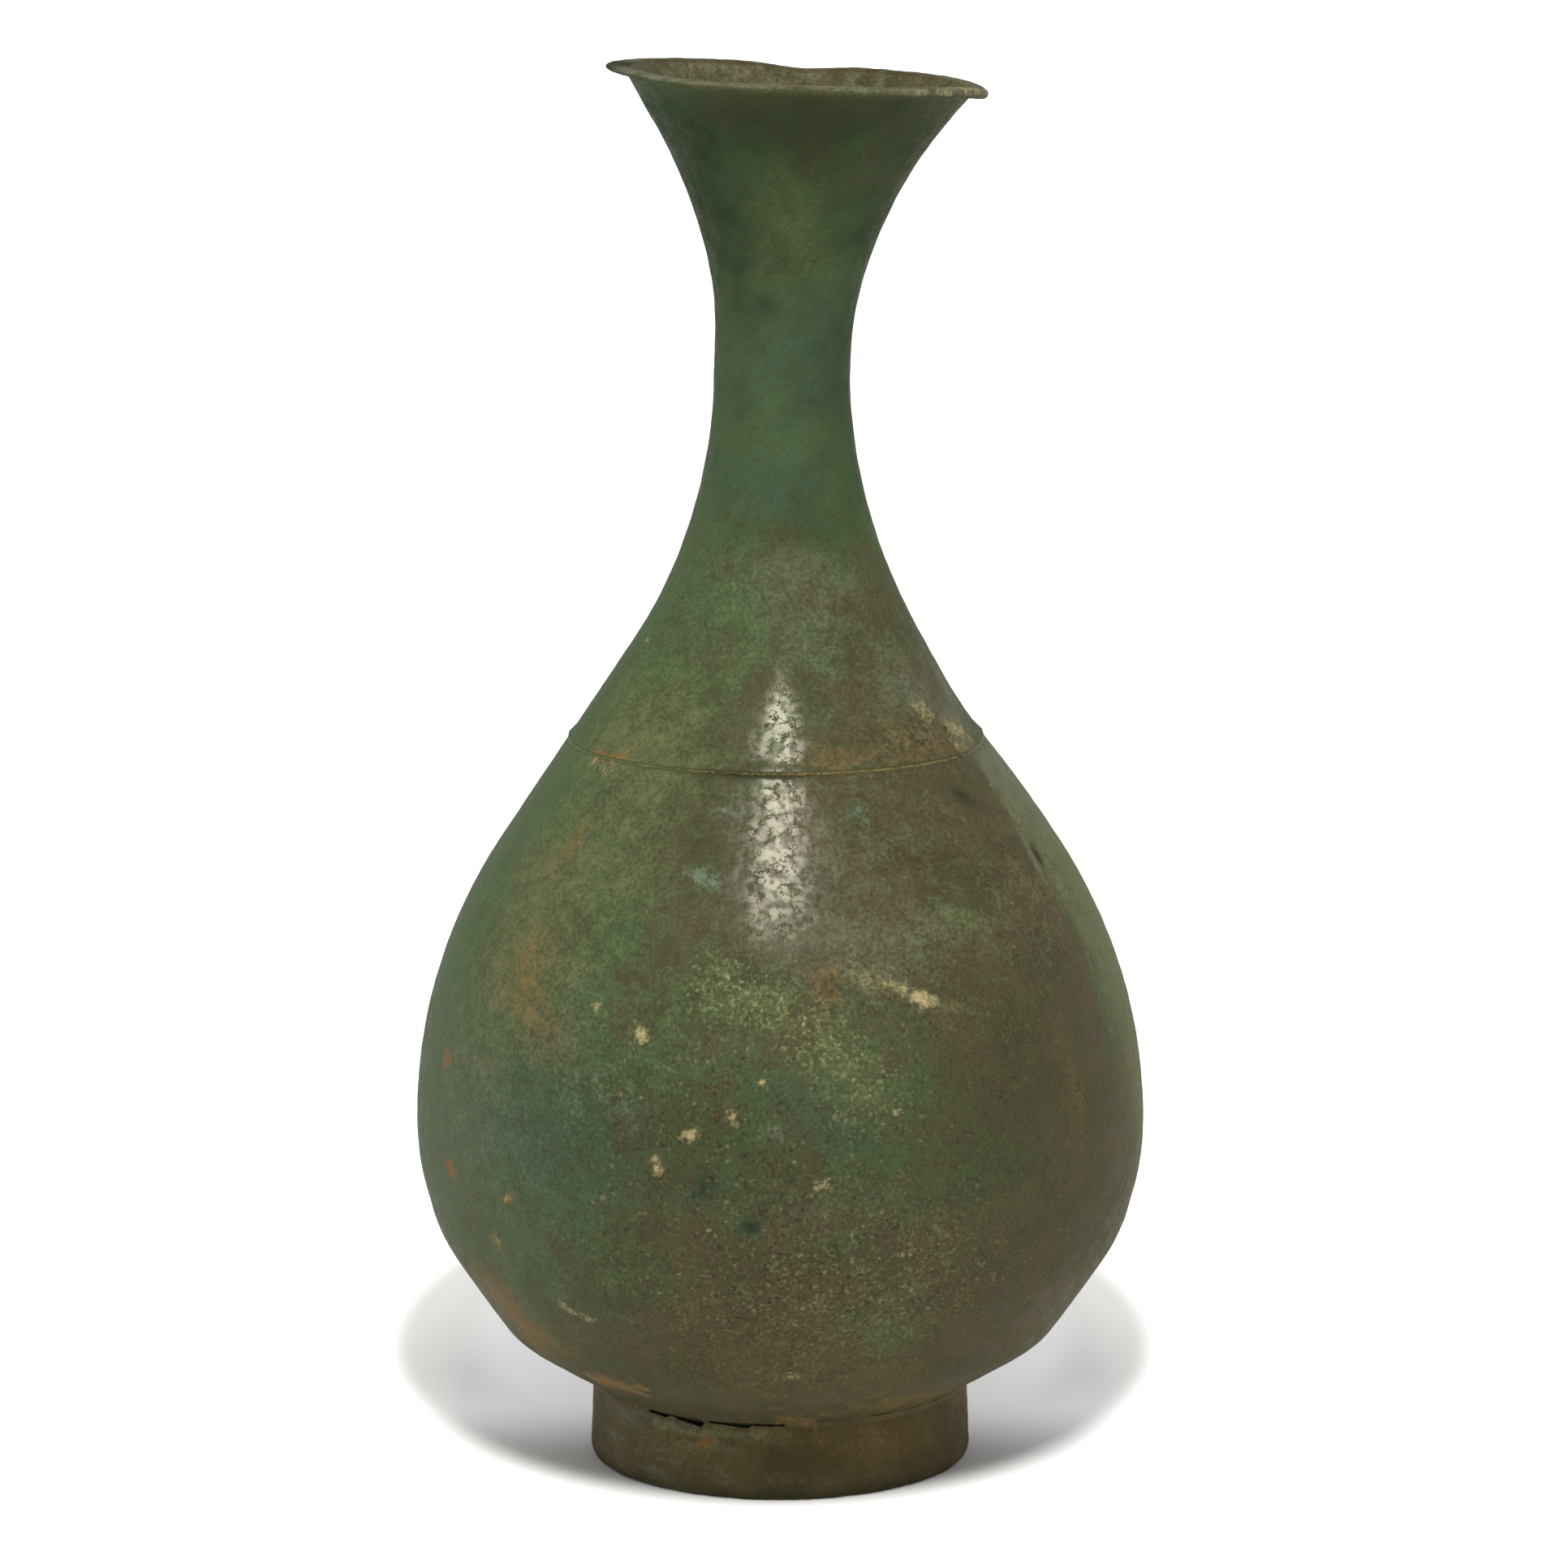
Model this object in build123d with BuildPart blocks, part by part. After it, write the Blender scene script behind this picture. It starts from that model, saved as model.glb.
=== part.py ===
"""Bronze bottle with a pear-shaped body, a bent trumpet neck and a ring foot.

The body, the neck and the foot ring are three separate shells of revolution. Two soft-solder
seams join them: one in the lap under the shoulder line, one on top of the foot ring, where it
is missing along an open crack at the front left. The upright axis is Z, the bottle stands on
z = 0, and -Y is its front. The mouth leans towards +X.
"""

import os
from math import cos, hypot, radians, sin, tan

from build123d import *

# Driving dimensions, in millimetres and degrees
WALL = 1.8  # sheet of the body and the neck

FOOT_RADIUS = 43.7  # outside of the foot ring at its top
FOOT_FLARE = 0.7  # how much wider it stands on the table
FOOT_HEIGHT = 18.4  # table to the body, on the outside
FOOT_WALL = 3.0
TREAD_ROUND = 2.0  # worn outer edge under the foot
TREAD_EASE = 0.5  # inner edge under the foot

FLOOR_DROP = 5.2  # floor below the top of the foot
FLOOR_REACH = 3.0  # how far the floor's rounding reaches from its corner
CARINATION_RADIUS = 62.6  # the soft corner low on the belly
CARINATION_RISE = 12.4  # its height over the foot
CARINATION_REACH = 3.0
BELLY_RADIUS = 84.5
BELLY_HEIGHT = 80.0  # table to the widest ring
BELLY_BELT = 0.6  # short upright stretch at the widest ring
SWELL_DEPTH = 4.8  # how far the lower swell lies inside the widest ring
SWELL_RISE = 17.2
SWELL_REACH = 7.5
LOWER_SWELL_REACH = 5.9
SHOULDER_REACH = 35.2  # the long curve over the shoulder
SEAM_RADIUS = 48.7  # the line where the neck laps over the body
SEAM_HEIGHT = 169.6

LAP_LENGTH = 8.0  # overlap of neck and body along the cone
LAP_DEPTH = 0.9  # rebate in the body that takes the lap
LAP_LIFT = 0.5  # the edge of the neck stands proud of the body
LAP_TAPER = 3.0  # length over which it rises
SEAM_LINE = 0.4  # solder that shows below the edge
SOLDER = 0.2  # solder layer in both joints

WAIST_RADIUS = 15.4  # narrowest ring of the neck
NECK_REACH = 33.0  # the long curve from shoulder to waist
WAIST_BELT = 0.6  # short straight stretch at the narrowest ring
BEND_ANGLE = 3.4  # lean of the mouth
BEND_LENGTH = 5.5  # height over which the waist bends
THROAT_ROUND = 75.0  # two tangent arcs open the trumpet
THROAT_TURN = 18.0
FLARE_TURN = 21.0
MOUTH_SETBACK = 5.4  # the lip is this much narrower in radius than the shoulder seam
LIP_WIDTH = 4.2  # overhang of the turned-out lip
LIP_THICKNESS = 2.3
LIP_ROUND = 1.1

CRACK_START = 218.0  # the open seam on the foot, in degrees from +X
CRACK_SPAN = 54.0
CRACK_DEPTH = 1.1  # metal torn from the edge of the foot
FOOT_SOLDER_LEG = 2.0  # solder run inside the foot


def turn_radius(before, corner, after, reach):
    """Radius that rounds a corner so that the arc ends at this reach from it."""
    turn = (Vector(corner) - Vector(before)).get_angle(Vector(after) - Vector(corner))
    return reach / tan(radians(turn / 2))


def rounded(points, reaches):
    """Draw an outline through the points, each inner corner rounded by its reach."""
    corners = zip(points, points[1:], points[2:], reaches)
    radii = [turn_radius(before, at, after, reach) for before, at, after, reach in corners]
    return FilletPolyline(*points, radius=radii)


# The cone under the body, which the foot ring is fitted to
base_slope = CARINATION_RISE / (CARINATION_RADIUS - FOOT_RADIUS)


def base_height(radius):
    """Height of the cone under the body at a radius."""
    return FOOT_HEIGHT + (radius - FOOT_RADIUS) * base_slope


# The straight cone of the shoulder, which the lap is cut along
shoulder_height = BELLY_HEIGHT + BELLY_BELT / 2 + SHOULDER_REACH
shoulder_run = BELLY_RADIUS - SEAM_RADIUS
shoulder_rise = SEAM_HEIGHT - shoulder_height
shoulder_slant = hypot(shoulder_run, shoulder_rise)
lean_in = shoulder_run / shoulder_slant
lean_up = shoulder_rise / shoulder_slant


def on_cone(along, depth=0.0):
    """A point on the shoulder cone: distance up from the seam, and depth below the skin."""
    radius = SEAM_RADIUS - along * lean_in - depth * lean_up
    height = SEAM_HEIGHT + along * lean_up - depth * lean_in
    return (radius, height)


# Body: belly and floor in one shell, with a rebate round its upper edge
floor_height = FOOT_HEIGHT - FLOOR_DROP
swell_height = BELLY_HEIGHT - BELLY_BELT / 2 - SWELL_REACH
body_outline = [
    (0, floor_height),
    (FOOT_RADIUS - FLOOR_DROP / base_slope, floor_height),
    (CARINATION_RADIUS, FOOT_HEIGHT + CARINATION_RISE),
    (BELLY_RADIUS - SWELL_DEPTH, swell_height - SWELL_RISE),
    (BELLY_RADIUS, swell_height),
    (BELLY_RADIUS, shoulder_height),
    on_cone(LAP_LENGTH),
]
body_reaches = [FLOOR_REACH, CARINATION_REACH, LOWER_SWELL_REACH, SWELL_REACH, SHOULDER_REACH]
over = WALL  # cutters run past the wall by its thickness

with BuildPart() as body:
    with BuildSketch(Plane.XZ):
        with BuildLine():
            rounded(body_outline, body_reaches)
            offset(amount=WALL, side=Side.LEFT)
        make_face()
    revolve(axis=Axis.Z)
    with BuildSketch(Plane.XZ):
        with BuildLine():
            Polyline(
                on_cone(0, LAP_DEPTH),
                on_cone(LAP_LENGTH + over, LAP_DEPTH),
                on_cone(LAP_LENGTH + over, -over),
                on_cone(0, -over),
                close=True,
            )
        make_face()
    revolve(axis=Axis.Z, mode=Mode.SUBTRACT)
body.part.label = "body"

# Neck: the shoulder cone and waist, the bend, then the trumpet on the leaning axis
neck_corner = (WAIST_RADIUS, SEAM_HEIGHT + (SEAM_RADIUS - WAIST_RADIUS) * lean_up / lean_in)
bend_height = neck_corner[1] + NECK_REACH + WAIST_BELT
bend_radius = BEND_LENGTH / radians(BEND_ANGLE)
lean = (sin(radians(BEND_ANGLE)), 0, cos(radians(BEND_ANGLE)))
across = (cos(radians(BEND_ANGLE)), 0, -sin(radians(BEND_ANGLE)))
throat_centre = (bend_radius * (1 - lean[2]), 0, bend_height + bend_radius * lean[0])
trumpet_plane = Plane(origin=throat_centre, x_dir=across, z_dir=(0, -1, 0))
trumpet_axis = Axis(throat_centre, lean)
throat_end = WAIST_RADIUS + THROAT_ROUND * (1 - cos(radians(THROAT_TURN)))
flare_reach = SEAM_RADIUS - MOUTH_SETBACK - LIP_WIDTH - throat_end
flare_round = flare_reach / (cos(radians(THROAT_TURN)) - cos(radians(THROAT_TURN + FLARE_TURN)))

with BuildPart() as neck:
    with BuildSketch(Plane.XZ):
        with BuildLine():
            rounded([on_cone(SEAM_LINE), neck_corner, (WAIST_RADIUS, bend_height)], [NECK_REACH])
            offset(amount=WALL, side=Side.LEFT)
        make_face()
    revolve(axis=Axis.Z)
    with BuildSketch(Plane.XY.offset(bend_height)):
        Circle(WAIST_RADIUS)
        Circle(WAIST_RADIUS - WALL, mode=Mode.SUBTRACT)
    revolve(axis=Axis((bend_radius, 0, bend_height), (0, 1, 0)), revolution_arc=BEND_ANGLE)
    with BuildSketch(trumpet_plane) as trumpet:
        with BuildLine():
            throat = JernArc((WAIST_RADIUS, 0), (0, 1), THROAT_ROUND, -THROAT_TURN)
            flare = JernArc(throat @ 1, throat % 1, flare_round, -FLARE_TURN)
            bore_throat = JernArc((WAIST_RADIUS - WALL, 0), (0, 1), THROAT_ROUND + WALL, -THROAT_TURN)
            bore = JernArc(bore_throat @ 1, bore_throat % 1, flare_round + WALL, -FLARE_TURN)
            lip_under = flare @ 1
            lip_top = lip_under.Y + LIP_THICKNESS
            lip_edge = lip_under.X + LIP_WIDTH
            bore_rise = lip_top - (bore @ 1).Y
            lip_inside = (bore @ 1) + (bore % 1) * (bore_rise / (bore % 1).Y)
            Polyline(lip_under, (lip_edge, lip_under.Y), (lip_edge, lip_top), lip_inside, bore @ 1)
            Line(throat @ 0, bore_throat @ 0)
        make_face()
        fillet(trumpet.vertices().sort_by(Axis.X)[-2:], radius=LIP_ROUND)
    revolve(axis=trumpet_axis)
    with BuildSketch(Plane.XZ):
        with BuildLine():
            Polyline(on_cone(SEAM_LINE), on_cone(SEAM_LINE, -LAP_LIFT), on_cone(LAP_TAPER), close=True)
        make_face()
    revolve(axis=Axis.Z)
    with BuildSketch(Plane.XZ):
        with BuildLine():
            Polyline(
                on_cone(0, LAP_DEPTH - SOLDER),
                on_cone(LAP_LENGTH + SOLDER, LAP_DEPTH - SOLDER),
                on_cone(LAP_LENGTH + SOLDER, WALL + over),
                on_cone(0, WALL + over),
                close=True,
            )
        make_face()
    revolve(axis=Axis.Z, mode=Mode.SUBTRACT)
neck.part.label = "neck"

# Shoulder solder: fills the lap and shows as the fine line round the shoulder
with BuildPart() as shoulder_solder:
    with BuildSketch(Plane.XZ):
        with BuildLine():
            Polyline(
                on_cone(0),
                on_cone(SEAM_LINE),
                on_cone(SEAM_LINE, LAP_DEPTH - SOLDER),
                on_cone(LAP_LENGTH + SOLDER, LAP_DEPTH - SOLDER),
                on_cone(LAP_LENGTH + SOLDER, WALL),
                on_cone(LAP_LENGTH, WALL),
                on_cone(LAP_LENGTH, LAP_DEPTH),
                on_cone(0, LAP_DEPTH),
                close=True,
            )
        make_face()
    revolve(axis=Axis.Z)
shoulder_solder.part.label = "shoulder_solder"

# Foot ring: its top is cut to the cone under the body, less the solder
solder_rise = SOLDER * hypot(1, base_slope)
foot_bore = FOOT_RADIUS - FOOT_WALL


def foot_top(radius):
    """Height of the top of the foot ring at a radius."""
    return base_height(radius) - solder_rise


def plane_at(angle):
    """Upright plane through the axis, turned from +X by this many degrees."""
    return Plane.XZ.rotated((0, 0, angle))


with BuildPart() as foot_ring:
    with BuildSketch(Plane.XZ) as foot_section:
        with BuildLine():
            Polyline(
                (FOOT_RADIUS, foot_top(FOOT_RADIUS)),
                (FOOT_RADIUS + FOOT_FLARE, 0),
                (foot_bore, 0),
                (foot_bore, foot_top(foot_bore)),
                close=True,
            )
        make_face()
        tread = foot_section.vertices().group_by(Axis.Y)[0].sort_by(Axis.X)
        fillet(tread[-1], radius=TREAD_ROUND)
        tread = foot_section.vertices().group_by(Axis.Y)[0].sort_by(Axis.X)
        fillet(tread[0], radius=TREAD_EASE)
    revolve(axis=Axis.Z)
    with BuildSketch(plane_at(CRACK_START)):
        with BuildLine():
            inner, outer = foot_bore - over, FOOT_RADIUS + over
            Polyline(
                (inner, foot_top(inner) - CRACK_DEPTH),
                (outer, foot_top(outer) - CRACK_DEPTH),
                (outer, base_height(outer)),
                (inner, base_height(inner)),
                close=True,
            )
        make_face()
    revolve(axis=Axis.Z, revolution_arc=CRACK_SPAN, mode=Mode.SUBTRACT)
foot_ring.part.label = "foot_ring"

# Foot solder: a thin bed on the foot ring with a run inside it, broken off along the crack
solder_toe = foot_bore - FOOT_SOLDER_LEG

with BuildPart() as foot_solder:
    with BuildSketch(plane_at(CRACK_START + CRACK_SPAN)):
        with BuildLine():
            Polyline(
                (FOOT_RADIUS, base_height(FOOT_RADIUS)),
                (FOOT_RADIUS, foot_top(FOOT_RADIUS)),
                (foot_bore, foot_top(foot_bore)),
                (foot_bore, foot_top(foot_bore) - FOOT_SOLDER_LEG),
                (solder_toe, base_height(solder_toe)),
                close=True,
            )
        make_face()
    revolve(axis=Axis.Z, revolution_arc=360 - CRACK_SPAN)
foot_solder.part.label = "foot_solder"

os.makedirs("parts", exist_ok=True)
for piece in (body, neck, shoulder_solder, foot_ring, foot_solder):
    export_step(piece.part, f"parts/{piece.part.label}.step")
    box = piece.part.bounding_box()
    print(piece.part.label, "volume", round(piece.part.volume), "from", box.min, "to", box.max)
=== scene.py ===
# %% [markdown]
# # An old bronze bottle
# The bottle is sheet bronze: a pear-shaped body, a neck that opens like a trumpet, and a ring foot.
# Soft solder joins the three. Centuries in the ground have dented the sheet, torn one side of the
# foot loose, and covered the metal with green, brown and rust-coloured patina.
# The CAD model is the fixed frame of this lesson. Each step builds the aged piece that stands where
# a clean CAD piece stands, in metres and in the same place.

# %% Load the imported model
from math import cos, hypot, pi, radians, sin, tan

import bmesh
import bpy
import numpy as np
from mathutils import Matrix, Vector, geometry


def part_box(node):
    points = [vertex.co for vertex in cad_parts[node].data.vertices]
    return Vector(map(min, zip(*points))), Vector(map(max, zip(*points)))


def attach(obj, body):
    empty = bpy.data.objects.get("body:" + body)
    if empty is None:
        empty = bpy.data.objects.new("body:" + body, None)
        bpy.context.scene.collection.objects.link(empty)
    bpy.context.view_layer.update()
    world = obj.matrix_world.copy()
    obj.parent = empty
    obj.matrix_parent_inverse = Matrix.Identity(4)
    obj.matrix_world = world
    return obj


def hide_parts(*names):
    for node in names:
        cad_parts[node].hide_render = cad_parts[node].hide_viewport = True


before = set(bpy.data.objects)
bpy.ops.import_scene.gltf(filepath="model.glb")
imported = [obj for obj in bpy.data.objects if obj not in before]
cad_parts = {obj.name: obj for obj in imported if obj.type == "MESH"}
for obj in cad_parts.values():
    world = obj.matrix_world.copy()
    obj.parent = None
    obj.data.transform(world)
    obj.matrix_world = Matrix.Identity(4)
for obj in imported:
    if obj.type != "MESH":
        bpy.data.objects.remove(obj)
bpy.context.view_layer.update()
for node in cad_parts:
    low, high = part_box(node)
    print(node, "from", [round(v, 4) for v in low], "to", [round(v, 4) for v in high])

# %% [markdown]
# ## Sizes of the sheet
# Blender can't read the CAD source, so what the boxes of the CAD pieces give is taken from them, and
# the rest is repeated here in metres: each size is a number of millimetres times MM. A reach is how
# far a corner's rounding starts from the corner.

# %% The sizes that the profiles use
MM = 0.001
body_low, body_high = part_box("body")
neck_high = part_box("neck")[1]
foot_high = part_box("foot_ring")[1]

WALL = 1.8 * MM
belly_radius = body_high.x
floor_height = body_low.z
FLOOR_RADIUS = 35.77 * MM
FLOOR_REACH = 3.0 * MM
CARINATION = (62.6 * MM, 30.8 * MM)
CARINATION_REACH = 3.0 * MM
LOWER_SWELL = (79.7 * MM, 55.0 * MM)
LOWER_SWELL_REACH = 5.9 * MM
SWELL_HEIGHT = 72.2 * MM
SWELL_REACH = 7.5 * MM
SHOULDER_HEIGHT = 115.5 * MM
SHOULDER_REACH = 35.2 * MM
SEAM_RADIUS = 48.7 * MM
SEAM_HEIGHT = 169.6 * MM
LAP_LENGTH = 8.0 * MM
LAP_DEPTH = 0.9 * MM
LAP_LIFT = 0.5 * MM
LAP_TAPER = 3.0 * MM
SEAM_LINE = 0.4 * MM
EDGE_REACH = 0.25 * MM  # how far a cut edge of the sheet is rounded

slant = hypot(belly_radius - SEAM_RADIUS, SEAM_HEIGHT - SHOULDER_HEIGHT)
lean_in = (belly_radius - SEAM_RADIUS) / slant
lean_up = (SEAM_HEIGHT - SHOULDER_HEIGHT) / slant


def at(radius, height):
    """A point of a profile, which is drawn in the upright plane through +X."""
    return Vector((radius, 0, height))


def on_cone(along, depth=0.0):
    """A point on the shoulder cone: distance up from the seam, and depth below the skin."""
    radius = SEAM_RADIUS - along * lean_in - depth * lean_up
    return at(radius, SEAM_HEIGHT + along * lean_up - depth * lean_in)


print("shoulder cone leans", round(lean_in / lean_up, 3), "inwards for each unit up")

# %% [markdown]
# ## Drawing a profile
# A raised and soldered vessel is round, so each shell starts as a profile that is turned about the
# upright axis. A profile could be a curve object, but bmesh can draw it too: Spin pulls one vertex
# along a line when its angle is zero, and round a centre when it isn't. The pen draws straight runs,
# arcs and rounded corners that way, and the step sets how fine the rings of the shell will be.
# A vertex value named skin marks the outside, because Spin copies the values of what it pulls along.

# %% A pen for profiles
SHORTEST = 1e-7  # a run below this length is left out
WELD = 1e-6


class Pen:
    """Draws a profile in the upright plane through +X, from its first point on."""

    def __init__(self, point):
        self.bm = bmesh.new()
        self.skin = self.bm.verts.layers.float.new("skin")
        self.tip = self.bm.verts.new(point)
        self.tip[self.skin] = 1.0

    def go_inside(self):
        """What is drawn from here on is the inside of the shell."""
        self.tip[self.skin] = 0.0

    def pull(self, **spin):
        """Pull the tip along and keep the vertex at the end of what Spin drew."""
        made = bmesh.ops.spin(self.bm, geom=[self.tip], axis=(0, 1, 0), **spin)
        self.tip = [item for item in made["geom_last"] if isinstance(item, bmesh.types.BMVert)][0]

    def run(self, goal, step):
        """Draw a straight run of short edges to the goal."""
        way = goal - self.tip.co
        if way.length >= SHORTEST:
            steps = max(1, round(way.length / step))
            self.pull(cent=self.tip.co, dvec=way / steps, angle=0, steps=steps)

    def arc(self, centre, angle, step):
        """Draw an arc round a centre. A positive angle turns a rising line outwards."""
        steps = max(4, round(abs(angle) * (self.tip.co - centre).length / step))
        self.pull(cent=centre, angle=angle, steps=steps)

    def rounded(self, corners, reaches, step):
        """Draw on through the corners; each corner is rounded by its reach."""
        line = [self.tip.co.copy(), *corners]
        for before, corner, after, reach in zip(line, line[1:], line[2:], reaches):
            ahead = (corner - before).normalized()
            onward = (after - corner).normalized()
            self.run(corner - ahead * reach, step)
            turn = ahead.angle(onward)
            inward = (onward - ahead * ahead.dot(onward)).normalized()
            centre = self.tip.co + inward * (reach / tan(turn / 2))
            self.arc(centre, turn if ahead.cross(onward).y > 0 else -turn, step)
        self.run(line[-1], step)


def inset(corners, wall):
    """The same corners moved to the left of the drawing direction by the wall."""
    moved = []
    for a, b in zip(corners, corners[1:]):
        ahead = (b - a).normalized()
        left = Vector((-ahead.z, 0, ahead.x)) * wall
        moved.append((a + left, b + left))
    crossings = [geometry.intersect_line_line(*one, *two)[0] for one, two in zip(moved, moved[1:])]
    return [moved[0][0], *crossings, moved[-1][1]]


print("the pen draws straight runs, arcs and rounded corners")

# %% [markdown]
# ## Turning a shell
# A full Spin with use_merge closes the shell, Remove Doubles closes the pole in the floor, and the
# normals are recalculated once that is done. Moving half a million triangles one vertex at a time is
# slow in Python, so the other helpers read a shell's vertices as an array of rows and write them back.

# %% From a profile to a shell


def turn_shell(pen, segments, name, node):
    """Turn a profile once round into the object that stands for a CAD node and rides with the bottle."""
    bm = pen.bm
    bmesh.ops.spin(bm, geom=bm.verts[:] + bm.edges[:], cent=(0, 0, 0), axis=(0, 0, 1), angle=2 * pi,
                   steps=segments, use_merge=True)
    bmesh.ops.remove_doubles(bm, verts=bm.verts, dist=WELD)
    bmesh.ops.recalc_face_normals(bm, faces=bm.faces)
    mesh = bpy.data.meshes.new(name)
    bm.to_mesh(mesh)
    bm.free()
    mesh.shade_smooth()
    shell = bpy.data.objects.new(name, mesh)
    bpy.context.scene.collection.objects.link(shell)
    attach(shell, "root")
    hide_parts(node)
    mesh.calc_loop_triangles()
    print(name, "has", len(mesh.loop_triangles), "triangles")
    return shell


def points_of(shell):
    """The vertices of a shell as an array of rows."""
    flat = np.empty(len(shell.data.vertices) * 3)
    shell.data.vertices.foreach_get("co", flat)
    return flat.reshape(-1, 3)


def put_points(shell, points):
    """Write the vertices back."""
    shell.data.vertices.foreach_set("co", points.ravel())
    shell.data.update()


def skin_of(shell):
    """1 at each vertex of the outer skin and 0 inside."""
    values = np.empty(len(shell.data.vertices), np.float32)
    shell.data.attributes["skin"].data.foreach_get("value", values)
    return values


def radius_of(points):
    """Distance of each point from the upright axis."""
    return np.hypot(points[:, 0], points[:, 1])


print("profiles can be turned and points moved")

# %% [markdown]
# ## The body
# The belly and the floor are one piece of sheet. Its upper edge steps back under the neck, which laps
# over it. The outside gets rings about 1.3 mm apart, close enough to carry dents and stains, and the
# inside, which the neck hides, gets wide ones.

# %% Body shell
RING_STEP = 1.3 * MM
INNER_STEP = 6.0 * MM
BODY_SEGMENTS = 400

body_corners = [at(FLOOR_RADIUS, floor_height), at(*CARINATION), at(*LOWER_SWELL),
                at(belly_radius, SWELL_HEIGHT), at(belly_radius, SHOULDER_HEIGHT), on_cone(0)]
body_reaches = [FLOOR_REACH, CARINATION_REACH, LOWER_SWELL_REACH, SWELL_REACH, SHOULDER_REACH]
rebate = [on_cone(0, LAP_DEPTH), on_cone(LAP_LENGTH, LAP_DEPTH), on_cone(LAP_LENGTH, WALL)]
inner_corners = inset([at(0, floor_height), *body_corners[:-1], on_cone(LAP_LENGTH)], WALL)

pen = Pen(at(0, floor_height))
pen.run(at(FLOOR_RADIUS - FLOOR_REACH, floor_height), INNER_STEP)
pen.rounded(body_corners, body_reaches, RING_STEP)
pen.rounded(rebate, [EDGE_REACH, EDGE_REACH], RING_STEP)
pen.go_inside()
pen.rounded(inner_corners[-2::-1], body_reaches[::-1], INNER_STEP)
body_shell = turn_shell(pen, BODY_SEGMENTS, "body_shell", "body")

# %% [markdown]
# ## The neck
# The neck is drawn upright: the edge that laps over the body stands a little proud, then comes the
# cone, the long curve to the waist, two arcs that open the trumpet, and a flat turned-out lip.
# The lean of the mouth comes after the turning, as it did on the real neck.

# %% Neck shell
WAIST_RADIUS = 15.4 * MM
NECK_REACH = 33.0 * MM
WAIST_BELT = 0.6 * MM
BEND_LENGTH = 5.5 * MM
BEND = radians(3.4)
THROAT_ROUND = 75.0 * MM
THROAT_TURN = radians(18)
FLARE_ROUND = 115.17 * MM
FLARE_TURN = radians(21)
LIP_WIDTH = 4.2 * MM
LIP_THICKNESS = 2.3 * MM
LIP_REACH = 1.0 * MM
BORE_STEP = 2.5 * MM
NECK_SEGMENTS = 360

neck_corner = at(WAIST_RADIUS, SEAM_HEIGHT + (SEAM_RADIUS - WAIST_RADIUS) * lean_up / lean_in)
bend_height = neck_corner.z + NECK_REACH + WAIST_BELT
throat = at(WAIST_RADIUS, bend_height + BEND_LENGTH)


def towards(turn):
    """The direction towards the centre of an arc of the trumpet that has turned this far."""
    return Vector((cos(turn), 0, -sin(turn)))


pen = Pen(on_cone(SEAM_LINE, LAP_DEPTH))
pen.rounded([on_cone(SEAM_LINE, -LAP_LIFT), on_cone(LAP_TAPER), neck_corner, throat],
            [EDGE_REACH, LAP_TAPER / 3, NECK_REACH], RING_STEP)
pen.arc(at(WAIST_RADIUS + THROAT_ROUND, throat.z), THROAT_TURN, RING_STEP)
pen.arc(pen.tip.co + towards(THROAT_TURN) * FLARE_ROUND, FLARE_TURN, RING_STEP)
lip_under = pen.tip.co.copy()
lip_edge = lip_under + at(LIP_WIDTH, 0)
lip_top = lip_edge + at(0, LIP_THICKNESS)
flare_aim = towards(THROAT_TURN + FLARE_TURN)
bore_end = lip_under - flare_aim * WALL
flare_rise = (lip_top.z - bore_end.z) * tan(THROAT_TURN + FLARE_TURN)
lip_inside = at(bore_end.x + flare_rise, lip_top.z)
pen.rounded([lip_edge, lip_top, lip_inside, bore_end], [LIP_REACH, LIP_REACH, EDGE_REACH], RING_STEP / 2)
pen.go_inside()
pen.arc(bore_end + flare_aim * (FLARE_ROUND + WALL), -FLARE_TURN, BORE_STEP)
pen.arc(pen.tip.co + towards(THROAT_TURN) * (THROAT_ROUND + WALL), -THROAT_TURN, BORE_STEP)
cone_end, bore_corner, _ = inset([on_cone(LAP_LENGTH), neck_corner, throat], WALL)
lap = [on_cone(LAP_LENGTH, LAP_DEPTH), on_cone(SEAM_LINE, LAP_DEPTH)]
pen.rounded([bore_corner, cone_end, *lap], [NECK_REACH, EDGE_REACH, EDGE_REACH], BORE_STEP)
neck_shell = turn_shell(pen, NECK_SEGMENTS, "neck_shell", "neck")
rim_height = lip_top.z

# %% [markdown]
# ## The lean of the mouth
# The waist has bent by a few degrees, so the trumpet leans to the right. Each ring inside the short
# bend turns about the bend's centre by its share of the angle, and everything above it turns by the
# whole angle, so the sheet keeps its length.

# %% Bend the waist


def lean_mouth(points):
    """Bend upright points of the neck at the waist."""
    pivot = BEND_LENGTH / BEND
    past = np.clip(points[:, 2] - bend_height, 0, BEND_LENGTH)
    turn = past / pivot
    up = points[:, 2] - bend_height - past
    leaned = points.copy()
    leaned[:, 0] = pivot + (points[:, 0] - pivot) * np.cos(turn) + up * np.sin(turn)
    leaned[:, 2] = bend_height - (points[:, 0] - pivot) * np.sin(turn) + up * np.cos(turn)
    return leaned


neck_upright = points_of(neck_shell)
put_points(neck_shell, lean_mouth(neck_upright))
print("the mouth is", round(points_of(neck_shell)[:, 2].max() / MM, 1), "mm high at its upper side")

# %% [markdown]
# ## The foot ring
# The foot is a plain thick ring, worn round on its outer edge. Its top follows the cone under the
# body. It gets close rings, because the torn seam at the front left is modelled in its upper edge.

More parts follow.
